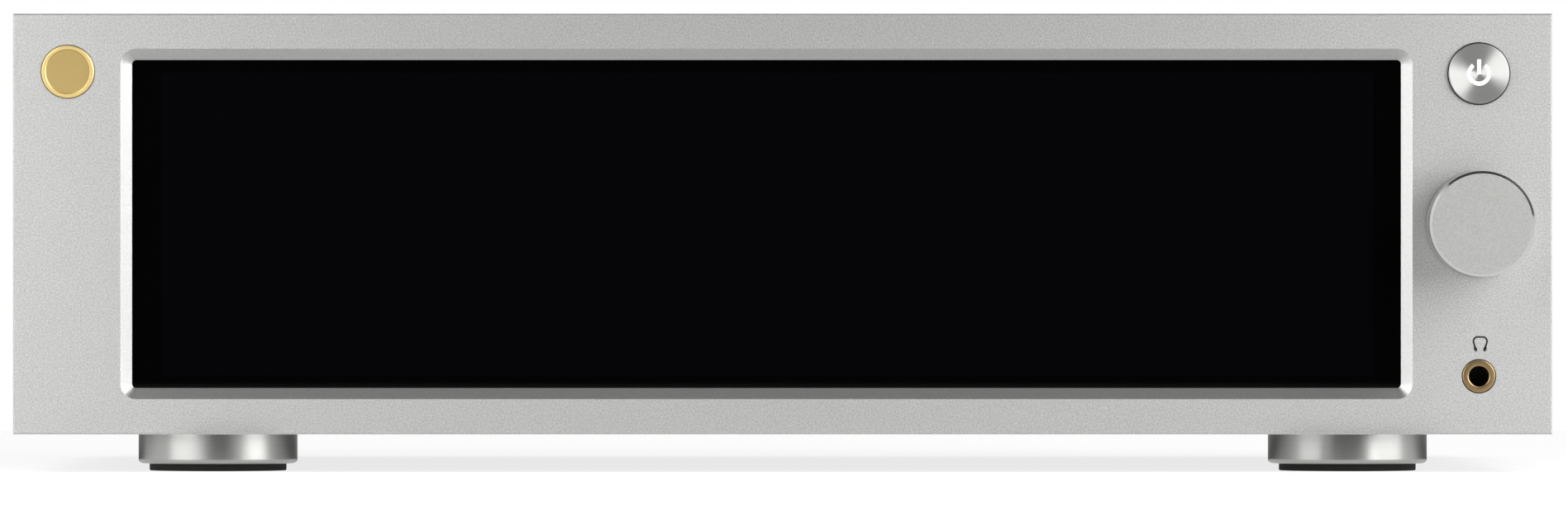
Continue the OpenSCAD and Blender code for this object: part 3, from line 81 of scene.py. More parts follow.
def dress(material, *nodes):
    """Puts a material on CAD pieces."""
    for name in nodes:
        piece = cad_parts[name]
        piece.data.materials.clear()
        piece.data.materials.append(material)


# Blasted anodised aluminium looks pale grey and matt, with a fine sparkle. The bead marks are about
# 0.1 mm on the real plate and are drawn three times as coarse, so that they show in the render.
blasted = finish_named("blasted_anodised_aluminium")
place = add(blasted, "TexCoord", {})["Object"]
axes = add(blasted, "SeparateXYZ", {"Vector": place})
marks = add(blasted, "TexNoise", {
    "Vector": place, "Scale": 1 / BEAD_MARK, "Detail": 2.0, "Roughness": 0.6})[0]
fine = add(blasted, "TexNoise", {"Vector": place, "Scale": 1 / BEAD_FINE, "Detail": 1.0})[0]
both = add(blasted, "Math", {0: marks, 1: fine}, operation="ADD")[0]
behind = add(blasted, "Math", {0: axes["Y"], 1: BEVEL_Y}, operation="GREATER_THAN")[0]
off_x = add(blasted, "Math", {0: axes["X"], 1: WINDOW_X, 2: BEVEL_HALF_W}, operation="COMPARE")[0]
off_z = add(blasted, "Math", {0: axes["Z"], 1: MID_Z, 2: BEVEL_HALF_H}, operation="COMPARE")[0]
inside = add(blasted, "Math", {0: off_x, 1: off_z}, operation="MULTIPLY")[0]
bevel = add(blasted, "Math", {0: inside, 1: behind}, operation="MULTIPLY")[0]
tone = add(blasted, "MapRange", {"Value": both, "From Min": 0.8, "From Max": 1.2})[0]
colour = add(blasted, "Mix", {0: tone, 6: linear("#ACACAB"), 7: linear("#CACAC9")}, data_type="RGBA")[2]
slope = add(blasted, "Mix", {0: tone, 6: linear("#B6B6B5"), 7: linear("#C4C4C3")}, data_type="RGBA")[2]
milled = add(blasted, "Mix", {0: bevel, 6: colour, 7: slope}, data_type="RGBA")[2]
rough = add(blasted, "MapRange", {"Value": bevel, "To Min": 0.48, "To Max": 0.34})[0]
relief = add(blasted, "MapRange", {"Value": bevel, "To Min": 0.22, "To Max": 0.07})[0]
bump = add(blasted, "Bump", {"Height": both, "Strength": relief, "Distance": BEAD_DEPTH})["Normal"]
shader = add(blasted, "BsdfPrincipled", {
    "Base Color": milled, "Metallic": 1.0, "Roughness": rough, "Normal": bump})["BSDF"]
add(blasted, "OutputMaterial", {"Surface": shader})
dress(blasted, "front_panel")

# Display: a sheet of toughened cover glass, bonded to a bar-shaped LCD, clamped into the pocket behind
# the window by a steel frame. Switched off it is black, with the active area only just to be seen.
ACTIVE_X = -2.75 * MM
ACTIVE_HALF_W = 109.5 * MM
ACTIVE_HALF_H = 27.4 * MM
glass = finish_named("cover_glass_over_dark_lcd")
place = add(glass, "TexCoord", {})["Object"]
axes = add(glass, "SeparateXYZ", {"Vector": place})
in_x = add(glass, "Math", {0: axes["X"], 1: ACTIVE_X, 2: ACTIVE_HALF_W}, operation="COMPARE")[0]
in_z = add(glass, "Math", {0: axes["Z"], 1: MID_Z, 2: ACTIVE_HALF_H}, operation="COMPARE")[0]
active = add(glass, "Math", {0: in_x, 1: in_z}, operation="MULTIPLY")[0]
colour = add(glass, "Mix", {0: active, 6: linear("#010101"), 7: linear("#020203")}, data_type="RGBA")[2]
smear = add(glass, "TexNoise", {"Vector": place, "Scale": 1 / (60 * MM), "Detail": 2.0})[0]
rough = add(glass, "MapRange", {"Value": smear, "To Min": 0.008, "To Max": 0.016})[0]
shader = add(glass, "BsdfPrincipled", {"Base Color": colour, "Roughness": rough, "IOR": 1.5})["BSDF"]
add(glass, "OutputMaterial", {"Surface": shader})
dress(glass, "display_glass", "lcd_module")

# Badge: a small round disc of brass, pressed with a raised rim and a sunken field, gold plated. It is
# glued into a shallow seat at the top left of the panel, and carries no sign.
FIELD_Y = FRONT_Y - 0.2 * MM
gold = finish_named("satin_gold_plate")
place = add(gold, "TexCoord", {})["Object"]
axes = add(gold, "SeparateXYZ", {"Vector": place})
field = add(gold, "Math", {0: axes["Y"], 1: FIELD_Y}, operation="GREATER_THAN")[0]
grain = add(gold, "TexNoise", {"Vector": place, "Scale": 1 / (0.3 * MM), "Detail": 2.0})[0]
colour = add(gold, "Mix", {0: field, 6: linear("#E6CD8E"), 7: linear("#AE9864")}, data_type="RGBA")[2]
rough = add(gold, "MapRange", {"Value": field, "To Min": 0.44, "To Max": 0.5})[0]
relief = add(gold, "MapRange", {"Value": field, "To Min": 0.04, "To Max": 0.4})[0]
bump = add(gold, "Bump", {"Height": grain, "Strength": relief, "Distance": 0.06 * MM})["Normal"]
shader = add(gold, "BsdfPrincipled", {
    "Base Color": colour, "Metallic": 1.0, "Roughness": rough, "Normal": bump})["BSDF"]
add(gold, "OutputMaterial", {"Surface": shader})
dress(gold, "badge")

# Power button: a turned aluminium cup with a spun face, which shows light to the left and right and
# dark above and below. A milky light guide fills the cut-out symbol and glows white from behind.
CONTROL_X = 125.75 * MM
BUTTON_Z = 72.05 * MM
BUTTON_FACE_Y = FRONT_Y - 0.8 * MM
BUTTON_EDGE_Y = BUTTON_FACE_Y + 0.02 * MM
spun = finish_named("spun_anodised_aluminium")
place = add(spun, "TexCoord", {})["Object"]
axes = add(spun, "SeparateXYZ", {"Vector": place})
edge = add(spun, "Math", {0: axes["Y"], 1: BUTTON_EDGE_Y}, operation="GREATER_THAN")[0]
centred = add(spun, "Mapping", {"Vector": place, "Location": (-CONTROL_X, 0, -BUTTON_Z)})[0]
rings = add(spun, "TexWave", {"Vector": centred, "Scale": 1 / (0.6 * MM), "Distortion": 0.0},
            wave_type="RINGS", rings_direction="Y")[1]
around = add(spun, "Tangent", {}, direction_type="RADIAL", axis="Y")[0]
colour = add(spun, "Mix", {0: edge, 6: linear("#BABAB8"), 7: linear("#8E8E8C")}, data_type="RGBA")[2]
rough = add(spun, "MapRange", {"Value": edge, "To Min": 0.42, "To Max": 0.5})[0]
bump = add(spun, "Bump", {"Height": rings, "Strength": 0.05, "Distance": 0.01 * MM})["Normal"]
shader = add(spun, "BsdfPrincipled", {
    "Base Color": colour, "Metallic": 1.0, "Roughness": rough, "Anisotropic": 0.9,
    "Anisotropic Rotation": 0.25, "Tangent": around, "Normal": bump})["BSDF"]
add(spun, "OutputMaterial", {"Surface": shader})
dress(spun, "power_button")

lit = finish_named("lit_milky_acrylic")
place = add(lit, "TexCoord", {})["Object"]
cloud = add(lit, "TexNoise", {"Vector": place, "Scale": 1 / (1.5 * MM), "Detail": 1.0})[0]
glow = add(lit, "Mix", {0: cloud, 6: linear("#F4F7FF"), 7: linear("#FFFFFF")}, data_type="RGBA")[2]
shader = add(lit, "BsdfPrincipled", {
    "Base Color": linear("#B4B4B2"), "Roughness": 0.3,
    "Emission Color": glow, "Emission Strength": 0.5})["BSDF"]
add(lit, "OutputMaterial", {"Surface": shader})
dress(lit, "light_guide")

# Volume knob: turned from aluminium bar, its face fine blasted and its chamfer left bright from the
# tool. It is pushed onto the flat of the encoder's steel shaft.
CHAMFER_Y = -111.77 * MM
CHAMFER_HALF = 0.226 * MM
turned_knob = finish_named("turned_knob_aluminium")
place = add(turned_knob, "TexCoord", {})["Object"]
axes = add(turned_knob, "SeparateXYZ", {"Vector": place})
edge = add(turned_knob, "Math", {0: axes["Y"], 1: CHAMFER_Y, 2: CHAMFER_HALF}, operation="COMPARE")[0]
grain = add(turned_knob, "TexNoise", {"Vector": place, "Scale": 1 / (0.3 * MM), "Detail": 2.0})[0]
tone = add(turned_knob, "MapRange", {"Value": grain, "From Min": 0.3, "From Max": 0.7})[0]
face = add(turned_knob, "Mix", {0: tone, 6: linear("#A8A8A6"), 7: linear("#B6B6B4")}, data_type="RGBA")[2]
colour = add(turned_knob, "Mix", {0: edge, 6: face, 7: linear("#C2C2C0")}, data_type="RGBA")[2]
rough = add(turned_knob, "MapRange", {"Value": edge, "To Min": 0.5, "To Max": 0.15})[0]
relief = add(turned_knob, "MapRange", {"Value": edge, "To Min": 0.06, "To Max": 0.01})[0]
bump = add(turned_knob, "Bump", {"Height": grain, "Strength": relief, "Distance": 0.04 * MM})["Normal"]
shader = add(turned_knob, "BsdfPrincipled", {
    "Base Color": colour, "Metallic": 1.0, "Roughness": rough, "Normal": bump})["BSDF"]
add(turned_knob, "OutputMaterial", {"Surface": shader})
dress(turned_knob, "volume_knob")

# Headphone socket: a threaded brass collar, turned with rounded edges and gold plated, round a black
# moulded socket that is soldered to the control board. A printed headphone outline stands above it.
JACK_Z = 17.4 * MM
DEPTHWISE = (0, 1, 0)
COLLAR_PROFILE = [(1.8, 6.5), (1.8, 0.1), (1.83, -0.04), (1.91, -0.14), (2.02, -0.19), (2.12, -0.2),
                  (2.8, -0.2), (2.88, -0.18), (2.94, -0.12), (2.97, -0.04), (2.975, 0.1), (2.975, 6.5)]


def revolved(profile, at, axis):
    """A closed ring or disc, turned about an axis through a point from (radius, depth) pairs in mm."""
    turned = bmesh.new()
    along = Vector(axis)
    outward = along.orthogonal().normalized()
    points = [turned.verts.new(Vector(at) + outward * radius * MM + along * depth * MM)
              for radius, depth in profile]
    rim = [turned.edges.new(pair) for pair in zip(points, points[1:] + points[:1])]
    bmesh.ops.spin(turned, geom=points + rim, cent=at, axis=axis, angle=2 * math.pi, steps=64, use_merge=True)
    bmesh.ops.remove_doubles(turned, verts=turned.verts, dist=0.001 * MM)
    bmesh.ops.recalc_face_normals(turned, faces=turned.faces)
    return turned


def placed(mesh, name, material, body, smooth=True):
    """Makes a bmesh a piece of the object, in one material, and lets it ride on a body."""
    data = bpy.data.meshes.new(name)
    mesh.to_mesh(data)
    mesh.free()
    data.materials.append(material)
    if smooth:
        data.shade_smooth()
        data.set_sharp_from_angle(angle=math.radians(35))
    piece = bpy.data.objects.new(name, data)
    bpy.context.scene.collection.objects.link(piece)
    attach(piece, body)
    return piece


collar = finish_named("satin_gold_collar")
place = add(collar, "TexCoord", {})["Object"]
centred = add(collar, "Mapping", {"Vector": place, "Location": (-CONTROL_X, 0, -JACK_Z)})[0]
rings = add(collar, "TexWave", {"Vector": centred, "Scale": 1 / (0.5 * MM), "Distortion": 0.0},
            wave_type="RINGS", rings_direction="Y")[1]
wear = add(collar, "TexNoise", {"Vector": place, "Scale": 1 / (0.8 * MM), "Detail": 3.0})[0]
colour = add(collar, "Mix", {0: wear, 6: linear("#907A58"), 7: linear("#99835F")}, data_type="RGBA")[2]
bump = add(collar, "Bump", {"Height": rings, "Strength": 0.05, "Distance": 0.01 * MM})["Normal"]
shader = add(collar, "BsdfPrincipled", {
    "Base Color": colour, "Metallic": 1.0, "Roughness": 0.36, "Normal": bump})["BSDF"]
add(collar, "OutputMaterial", {"Surface": shader})
ring = revolved(COLLAR_PROFILE, (CONTROL_X, FRONT_Y, JACK_Z), DEPTHWISE)
socket_collar = placed(ring, "socket_collar", collar, "cabinet")
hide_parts("jack_collar")

# Black rings fill the narrow gaps round the button and the collar as painted shade of the deep gaps, so
# that they show as dark lines. Each has a name, a height and two radii in mm.
SHADE_RING_FRONT, SHADE_RING_BACK = 0.1, 1.4
SHADE_RINGS = [("button_gap_shade", BUTTON_Z, 5.53, 5.69), ("collar_gap_shade", JACK_Z, 2.985, 3.115)]
gap_shade_finish = finish_named("painted_gap_shade")
place = add(gap_shade_finish, "TexCoord", {})["Object"]
shade_speckle = add(gap_shade_finish, "TexNoise", {"Vector": place, "Scale": 1 / (0.15 * MM), "Detail": 1.0})[0]
# Near-black painted shade standing for the shadow deep in the gaps.
colour = add(gap_shade_finish, "Mix", {0: shade_speckle, 6: linear("#070707"), 7: linear("#0F0F0F")}, data_type="RGBA")[2]
shader = add(gap_shade_finish, "BsdfPrincipled", {"Base Color": colour, "Roughness": 0.9})["BSDF"]
add(gap_shade_finish, "OutputMaterial", {"Surface": shader})
for name, at_z, inner, outer in SHADE_RINGS:
    band = [(inner, SHADE_RING_BACK), (inner, SHADE_RING_FRONT), (outer, SHADE_RING_FRONT), (outer, SHADE_RING_BACK)]
    placed(revolved(band, (CONTROL_X, FRONT_Y, at_z), DEPTHWISE), name, gap_shade_finish, "cabinet")

# Headphone mark: one half of the headband, a flat, a bend and a leg, and its ear pad are drawn as a flat
# shape, then mirrored and given the thickness of the ink. It is screen printed on the panel.
ICON_AT = (125.97 * MM, FRONT_Y, 21.86 * MM)
ICON_STROKE = 0.33 * MM
BAND_FLAT = 0.45 * MM
BAND_R = 0.78 * MM
BAND_TOP = 2.64 * MM
BAND_TURN = math.radians(107)
BAND_LEG = 1.1 * MM
EAR_AT = (0.86 * MM, 0, 0.47 * MM)
EAR_HALF_W, EAR_HALF_H = 0.3 * MM, 0.47 * MM
EAR_TILT = math.radians(20)
PRINT = 0.02 * MM


def only(kind, parts):
    """The vertices or the edges among the parts that an operator gives back."""
    return [part for part in parts if isinstance(part, kind)]


mark = bmesh.new()
ends = [mark.verts.new((0, 0, BAND_TOP + side * ICON_STROKE / 2)) for side in (-1, 1)]
grown = bmesh.ops.extrude_edge_only(mark, edges=[mark.edges.new(ends)])["geom"]
ends = only(bmesh.types.BMVert, grown)
bmesh.ops.translate(mark, verts=ends, vec=(BAND_FLAT, 0, 0))
grown = bmesh.ops.spin(
    mark, geom=ends + only(bmesh.types.BMEdge, grown),
    cent=(BAND_FLAT, 0, BAND_TOP - BAND_R), axis=DEPTHWISE, angle=BAND_TURN, steps=20)["geom_last"]
grown = bmesh.ops.extrude_edge_only(mark, edges=only(bmesh.types.BMEdge, grown))["geom"]
leg = (BAND_LEG * math.cos(BAND_TURN), 0, -BAND_LEG * math.sin(BAND_TURN))
bmesh.ops.translate(mark, verts=only(bmesh.types.BMVert, grown), vec=leg)
ear = bmesh.ops.create_circle(mark, cap_ends=True, segments=24, radius=1)["verts"]
bmesh.ops.scale(mark, verts=ear, vec=(EAR_HALF_W, EAR_HALF_H, 1))
bmesh.ops.rotate(mark, verts=ear, cent=(0, 0, 0), matrix=Matrix.Rotation(math.radians(90), 3, "X"))
bmesh.ops.rotate(mark, verts=ear, cent=(0, 0, 0), matrix=Matrix.Rotation(EAR_TILT, 3, "Y"))
bmesh.ops.translate(mark, verts=ear, vec=EAR_AT)
bmesh.ops.mirror(mark, geom=mark.verts[:] + mark.edges[:] + mark.faces[:], axis="X", merge_dist=0.001 * MM)
printed = bmesh.ops.extrude_face_region(mark, geom=mark.faces[:])["geom"]
bmesh.ops.translate(mark, verts=only(bmesh.types.BMVert, printed), vec=(0, -PRINT, 0))
bmesh.ops.recalc_face_normals(mark, faces=mark.faces)
bmesh.ops.translate(mark, verts=mark.verts, vec=ICON_AT)
ink = finish_named("black_screen_print")
place = add(ink, "TexCoord", {})["Object"]
spread = add(ink, "TexNoise", {"Vector": place, "Scale": 1 / (0.2 * MM), "Detail": 1.0})[0]
colour = add(ink, "Mix", {0: spread, 6: linear("#060606"), 7: linear("#121212")}, data_type="RGBA")[2]
shader = add(ink, "BsdfPrincipled", {"Base Color": colour, "Roughness": 0.6})["BSDF"]
add(ink, "OutputMaterial", {"Surface": shader})
placed(mark, "headphone_mark", ink, "cabinet", smooth=False)

# Case: side panels, top cover, bottom plate and rear panel of aluminium, etched and anodised to a dull
# silver that scatters nearly all light. Plated steel screws bite into the thick side panels and hold
# them together.
case = finish_named("dull_anodised_aluminium")
place = add(case, "TexCoord", {})["Object"]
marks = add(case, "TexNoise", {"Vector": place, "Scale": 1 / (0.5 * MM), "Detail": 2.0, "Roughness": 0.6})[0]
cast = add(case, "TexNoise", {"Vector": place, "Scale": 1 / (45 * MM), "Detail": 2.0})[0]
tone = add(case, "MapRange", {"Value": marks, "From Min": 0.3, "From Max": 0.7})[0]
colour = add(case, "Mix", {0: tone, 6: linear("#B2B2B1"), 7: linear("#C4C4C3")}, data_type="RGBA")[2]
rough = add(case, "MapRange", {
    "Value": cast, "From Min": 0.3, "From Max": 0.7, "To Min": 0.7, "To Max": 0.78})[0]
bump = add(case, "Bump", {"Height": marks, "Strength": 0.12, "Distance": 0.05 * MM})["Normal"]
shader = add(case, "BsdfPrincipled", {
    "Base Color": colour, "Metallic": 0.1, "Specular IOR Level": 0.1, "Roughness": rough,
    "Normal": bump})["BSDF"]
add(case, "OutputMaterial", {"Surface": shader})
dress(case, "left_side_panel", "right_side_panel", "top_cover", "bottom_plate", "rear_panel",
      "panel_brackets")

steel = finish_named("nickel_plated_steel")
place = add(steel, "TexCoord", {})["Object"]
scuff = add(steel, "TexNoise", {"Vector": place, "Scale": 1 / (1.2 * MM), "Detail": 3.0})[0]
rough = add(steel, "MapRange", {
    "Value": scuff, "From Min": 0.3, "From Max": 0.7, "To Min": 0.24, "To Max": 0.38})[0]
colour = add(steel, "Mix", {0: scuff, 6: linear("#A9AAAB"), 7: linear("#BDBEBF")}, data_type="RGBA")[2]
shader = add(steel, "BsdfPrincipled", {"Base Color": colour, "Metallic": 1.0, "Roughness": rough})["BSDF"]
add(steel, "OutputMaterial", {"Surface": shader})
dress(steel, "display_bracket", "display_screws", "encoder_shaft", "encoder_body", "standoffs",
      "inner_screws", "cover_screws", "base_screws", "rear_screws", "foot_screws", "shield_plate",
      "mains_blades", "usb_port", "hdmi_ports")

# Feet: turned from aluminium bar with the fine marks of the tool running round them, so that each lamp
# is drawn out into an upright streak. A dark rubber pad is pressed into each, and a screw holds it.
TOOL_MARK = 0.25 * MM
MARK_RUN = 40 * MM
turned_foot = finish_named("turned_foot_aluminium")
place = add(turned_foot, "TexCoord", {})["Object"]
stretch = add(turned_foot, "Mapping", {
    "Vector": place, "Scale": (1 / MARK_RUN, 1 / MARK_RUN, 1 / TOOL_MARK)})[0]
lines = add(turned_foot, "TexNoise", {"Vector": stretch, "Scale": 1.0, "Detail": 3.0})[0]
around = add(turned_foot, "Tangent", {}, direction_type="RADIAL", axis="Z")[0]
colour = add(turned_foot, "Mix", {0: lines, 6: linear("#A6A6A4"), 7: linear("#B0B0AE")}, data_type="RGBA")[2]
bump = add(turned_foot, "Bump", {"Height": lines, "Strength": 0.06, "Distance": 0.02 * MM})["Normal"]
shader = add(turned_foot, "BsdfPrincipled", {
    "Base Color": colour, "Metallic": 1.0, "Roughness": 0.34, "Anisotropic": 0.1,
    "Anisotropic Rotation": 0.25, "Tangent": around, "Normal": bump})["BSDF"]
add(turned_foot, "OutputMaterial", {"Surface": shader})
dress(turned_foot, "front_left_foot", "front_right_foot", "rear_left_foot", "rear_right_foot")

rubber = finish_named("dark_moulded_rubber")
place = add(rubber, "TexCoord", {})["Object"]
skin = add(rubber, "TexNoise", {"Vector": place, "Scale": 1 / (0.6 * MM), "Detail": 3.0})[0]
colour = add(rubber, "Mix", {0: skin, 6: linear("#161514"), 7: linear("#1F1D1C")}, data_type="RGBA")[2]
bump = add(rubber, "Bump", {"Height": skin, "Strength": 0.2, "Distance": 0.05 * MM})["Normal"]
shader = add(rubber, "BsdfPrincipled", {
    "Base Color": colour, "Roughness": 0.75, "Specular IOR Level": 0.25, "Normal": bump})["BSDF"]
add(rubber, "OutputMaterial", {"Surface": shader})
dress(rubber, "foot_pads")

# Moulded pieces: glass-filled nylon of the sockets, the switch and the fuse drawer, black with the
# fine texture of a spark-eroded mould. They snap into the rear panel or are soldered to the boards.
black = finish_named("black_moulded_nylon")
place = add(black, "TexCoord", {})["Object"]
skin = add(black, "TexNoise", {"Vector": place, "Scale": 1 / (0.35 * MM), "Detail": 2.0})[0]
colour = add(black, "Mix", {0: skin, 6: linear("#121213"), 7: linear("#1C1C1D")}, data_type="RGBA")[2]
rough = add(black, "MapRange", {
    "Value": skin, "From Min": 0.3, "From Max": 0.7, "To Min": 0.42, "To Max": 0.56})[0]
bump = add(black, "Bump", {"Height": skin, "Strength": 0.15, "Distance": 0.03 * MM})["Normal"]
shader = add(black, "BsdfPrincipled", {"Base Color": colour, "Roughness": rough, "Normal": bump})["BSDF"]
add(black, "OutputMaterial", {"Surface": shader})
dress(black, "switch_plunger", "power_switch", "headphone_jack", "board_chips", "mains_inlet", "fuse_drawer",
      "switch_housing", "mains_rocker", "optical_ports", "optical_shutter_in", "optical_shutter_out",
      "port_tongues", "trigger_sockets")

# Phono sockets: brass shells, turned with a flange and gold plated, round moulded inserts whose bodies stand
# on the audio board. Red and white mark each pair of channels, orange and black the digital sockets.
PHONO_LOW_X, PHONO_HIGH_X = 13.5 * MM, 127.5 * MM
INSERTS = ("#151515", "#D06A12", "#E4E2DC", "#A81414", "#E4E2DC", "#A81414")
gold_shell = finish_named("polished_gold_plate")
place = add(gold_shell, "TexCoord", {})["Object"]
wear = add(gold_shell, "TexNoise", {"Vector": place, "Scale": 1 / (0.8 * MM), "Detail": 3.0})[0]
rough = add(gold_shell, "MapRange", {"Value": wear, "To Min": 0.16, "To Max": 0.28})[0]
shader = add(gold_shell, "BsdfPrincipled", {
    "Base Color": linear("#D9B56B"), "Metallic": 1.0, "Roughness": rough})["BSDF"]
add(gold_shell, "OutputMaterial", {"Surface": shader})
dress(gold_shell, "phono_shells")

coded = finish_named("colour_coded_inserts")
place = add(coded, "TexCoord", {})["Object"]
axes = add(coded, "SeparateXYZ", {"Vector": place})
share = add(coded, "MapRange", {"Value": axes["X"], "From Min": PHONO_LOW_X, "From Max": PHONO_HIGH_X})[0]
code = add(coded, "ValToRGB", {"Fac": share})["Color"]
bands = code.node.color_ramp
bands.interpolation = "CONSTANT"
for i, shade in enumerate(INSERTS):
    start = i / len(INSERTS)
    band = bands.elements[i] if i < 2 else bands.elements.new(start)
    band.position = start
    band.color = linear(shade)
skin = add(coded, "TexNoise", {"Vector": place, "Scale": 1 / (0.4 * MM), "Detail": 2.0})[0]
rough = add(coded, "MapRange", {"Value": skin, "To Min": 0.32, "To Max": 0.5})[0]
shader = add(coded, "BsdfPrincipled", {"Base Color": code, "Roughness": rough})["BSDF"]
add(coded, "OutputMaterial", {"Surface": shader})
dress(coded, "phono_insulators")

# Network socket: eight gold-plated spring wires come down out of the roof of its opening, and two windows
# of tinted acrylic above it show link and traffic. They are moulded into the socket.
LAN_X, LAN_FACE_Y = 35 * MM, 103.8 * MM
WIRE_TOP = Vector((0, 100.6, 27.85)) * MM
WIRE_END = Vector((0, 92.0, 24.7)) * MM
WIRES, WIRE_PITCH, WIRE_R = 8, 1.02 * MM, 0.22 * MM
OPENING_Y = LAN_FACE_Y - 0.4 * MM
OPENING_Z = 22.8 * MM
OPENING_HALF_W, OPENING_HALF_H = 5.95 * MM, 5.05 * MM
STATUS_SIZE = (2.6 * MM, 0.8 * MM, 1.4 * MM)
STATUS_OUT, STATUS_Y, STATUS_Z = 6.2 * MM, LAN_FACE_Y - 0.25 * MM, 29.2 * MM
STATUS_EDGE = 0.1 * MM
wires = bmesh.new()
slope = (WIRE_END - WIRE_TOP).to_track_quat("Z", "X").to_matrix()
for i in range(WIRES):
    wire = bmesh.ops.create_cone(wires, cap_ends=True, segments=10, radius1=WIRE_R, radius2=WIRE_R,
                                 depth=(WIRE_END - WIRE_TOP).length)["verts"]
    wire_x = LAN_X + (i - (WIRES - 1) / 2) * WIRE_PITCH
    bmesh.ops.rotate(wires, verts=wire, cent=(0, 0, 0), matrix=slope)
    bmesh.ops.translate(wires, verts=wire, vec=(WIRE_TOP + WIRE_END) / 2 + Vector((wire_x, 0, 0)))
placed(wires, "network_contacts", gold_shell, "cabinet")

shield = finish_named("tinned_shield_over_black_nylon")
place = add(shield, "TexCoord", {})["Object"]
axes = add(shield, "SeparateXYZ", {"Vector": place})
in_x = add(shield, "Math", {0: axes["X"], 1: LAN_X, 2: OPENING_HALF_W}, operation="COMPARE")[0]
in_z = add(shield, "Math", {0: axes["Z"], 1: OPENING_Z, 2: OPENING_HALF_H}, operation="COMPARE")[0]
deep = add(shield, "Math", {0: axes["Y"], 1: OPENING_Y}, operation="LESS_THAN")[0]
inside = add(shield, "Math", {0: in_x, 1: in_z}, operation="MULTIPLY")[0]
inside = add(shield, "Math", {0: inside, 1: deep}, operation="MULTIPLY")[0]
scuff = add(shield, "TexNoise", {"Vector": place, "Scale": 1 / (1.2 * MM), "Detail": 3.0})[0]
tin = add(shield, "Mix", {0: scuff, 6: linear("#A9AAAB"), 7: linear("#BDBEBF")}, data_type="RGBA")[2]
colour = add(shield, "Mix", {0: inside, 6: tin, 7: linear("#161617")}, data_type="RGBA")[2]
metal = add(shield, "MapRange", {"Value": inside, "To Min": 1.0, "To Max": 0.0})[0]
rough = add(shield, "MapRange", {"Value": inside, "To Min": 0.3, "To Max": 0.5})[0]
shader = add(shield, "BsdfPrincipled", {"Base Color": colour, "Metallic": metal, "Roughness": rough})["BSDF"]
add(shield, "OutputMaterial", {"Surface": shader})
dress(shield, "network_port")

tinted = finish_named("tinted_acrylic_windows")
place = add(tinted, "TexCoord", {})["Object"]
axes = add(tinted, "SeparateXYZ", {"Vector": place})
right = add(tinted, "Math", {0: axes["X"], 1: LAN_X}, operation="GREATER_THAN")[0]
cloud = add(tinted, "TexNoise", {"Vector": place, "Scale": 1 / (0.8 * MM), "Detail": 1.0})[0]
rough = add(tinted, "MapRange", {"Value": cloud, "To Min": 0.12, "To Max": 0.25})[0]
colour = add(tinted, "Mix", {0: right, 6: linear("#4E9A48"), 7: linear("#D39426")}, data_type="RGBA")[2]
shader = add(tinted, "BsdfPrincipled", {"Base Color": colour, "Roughness": rough, "IOR": 1.49})["BSDF"]
add(tinted, "OutputMaterial", {"Surface": shader})
windows = bmesh.new()
for side in (-1, 1):
    window = bmesh.ops.create_cube(windows, size=1)["verts"]
    bmesh.ops.scale(windows, verts=window, vec=STATUS_SIZE)
    bmesh.ops.translate(windows, verts=window, vec=(LAN_X + side * STATUS_OUT, STATUS_Y, STATUS_Z))
bmesh.ops.bevel(windows, geom=windows.edges[:], offset=STATUS_EDGE, affect="EDGES", segments=2,
                profile=0.5, material=-1)
placed(windows, "network_windows", tinted, "cabinet")

# Rocker marks: the line and the circle of a mains switch, printed white on the two slopes of the rocker.
# The line is on the side that is pressed in while the set is on.
ROCKER_AT = Vector((-110, 101.5, 65.9)) * MM
ROCKER_TILT = math.radians(11)
SLOPE_END, SLOPE_MID, SLOPE_W = 3.48 * MM, 2.2 * MM, 6.6 * MM
SLOPE_ANGLE = math.atan((SLOPE_END - SLOPE_MID) / SLOPE_W)
LINE_SIZE = (0.6 * MM, 2 * PRINT, 3.4 * MM)
CIRCLE_PROFILE = [(1.15, -0.02), (1.7, -0.02), (1.7, 0.02), (1.15, 0.02)]
white_print = finish_named("white_pad_print")
place = add(white_print, "TexCoord", {})["Object"]
spread = add(white_print, "TexNoise", {"Vector": place, "Scale": 1 / (0.25 * MM), "Detail": 1.0})[0]
colour = add(white_print, "Mix", {0: spread, 6: linear("#C8C8C4"), 7: linear("#DEDEDA")}, data_type="RGBA")[2]
shader = add(white_print, "BsdfPrincipled", {"Base Color": colour, "Roughness": 0.55})["BSDF"]
add(white_print, "OutputMaterial", {"Surface": shader})
stroke = bmesh.new()
bmesh.ops.create_cube(stroke, size=1)
bmesh.ops.scale(stroke, verts=stroke.verts, vec=LINE_SIZE)
circle = revolved(CIRCLE_PROFILE, (0, 0, 0), DEPTHWISE)
for sign, side, name in ((stroke, -1, "rocker_line"), (circle, 1, "rocker_circle")):
    turn = Matrix.Rotation(side * SLOPE_ANGLE, 3, "Z")
    bmesh.ops.rotate(sign, verts=sign.verts, cent=(0, 0, 0), matrix=turn)
    bmesh.ops.translate(sign, verts=sign.verts, vec=(side * SLOPE_W / 2, (SLOPE_END + SLOPE_MID) / 2, 0))
    bmesh.ops.rotate(sign, verts=sign.verts, cent=(0, 0, 0), matrix=Matrix.Rotation(ROCKER_TILT, 3, "Z"))
    bmesh.ops.translate(sign, verts=sign.verts, vec=ROCKER_AT)
    placed(sign, name, white_print, "rocker", smooth=False)

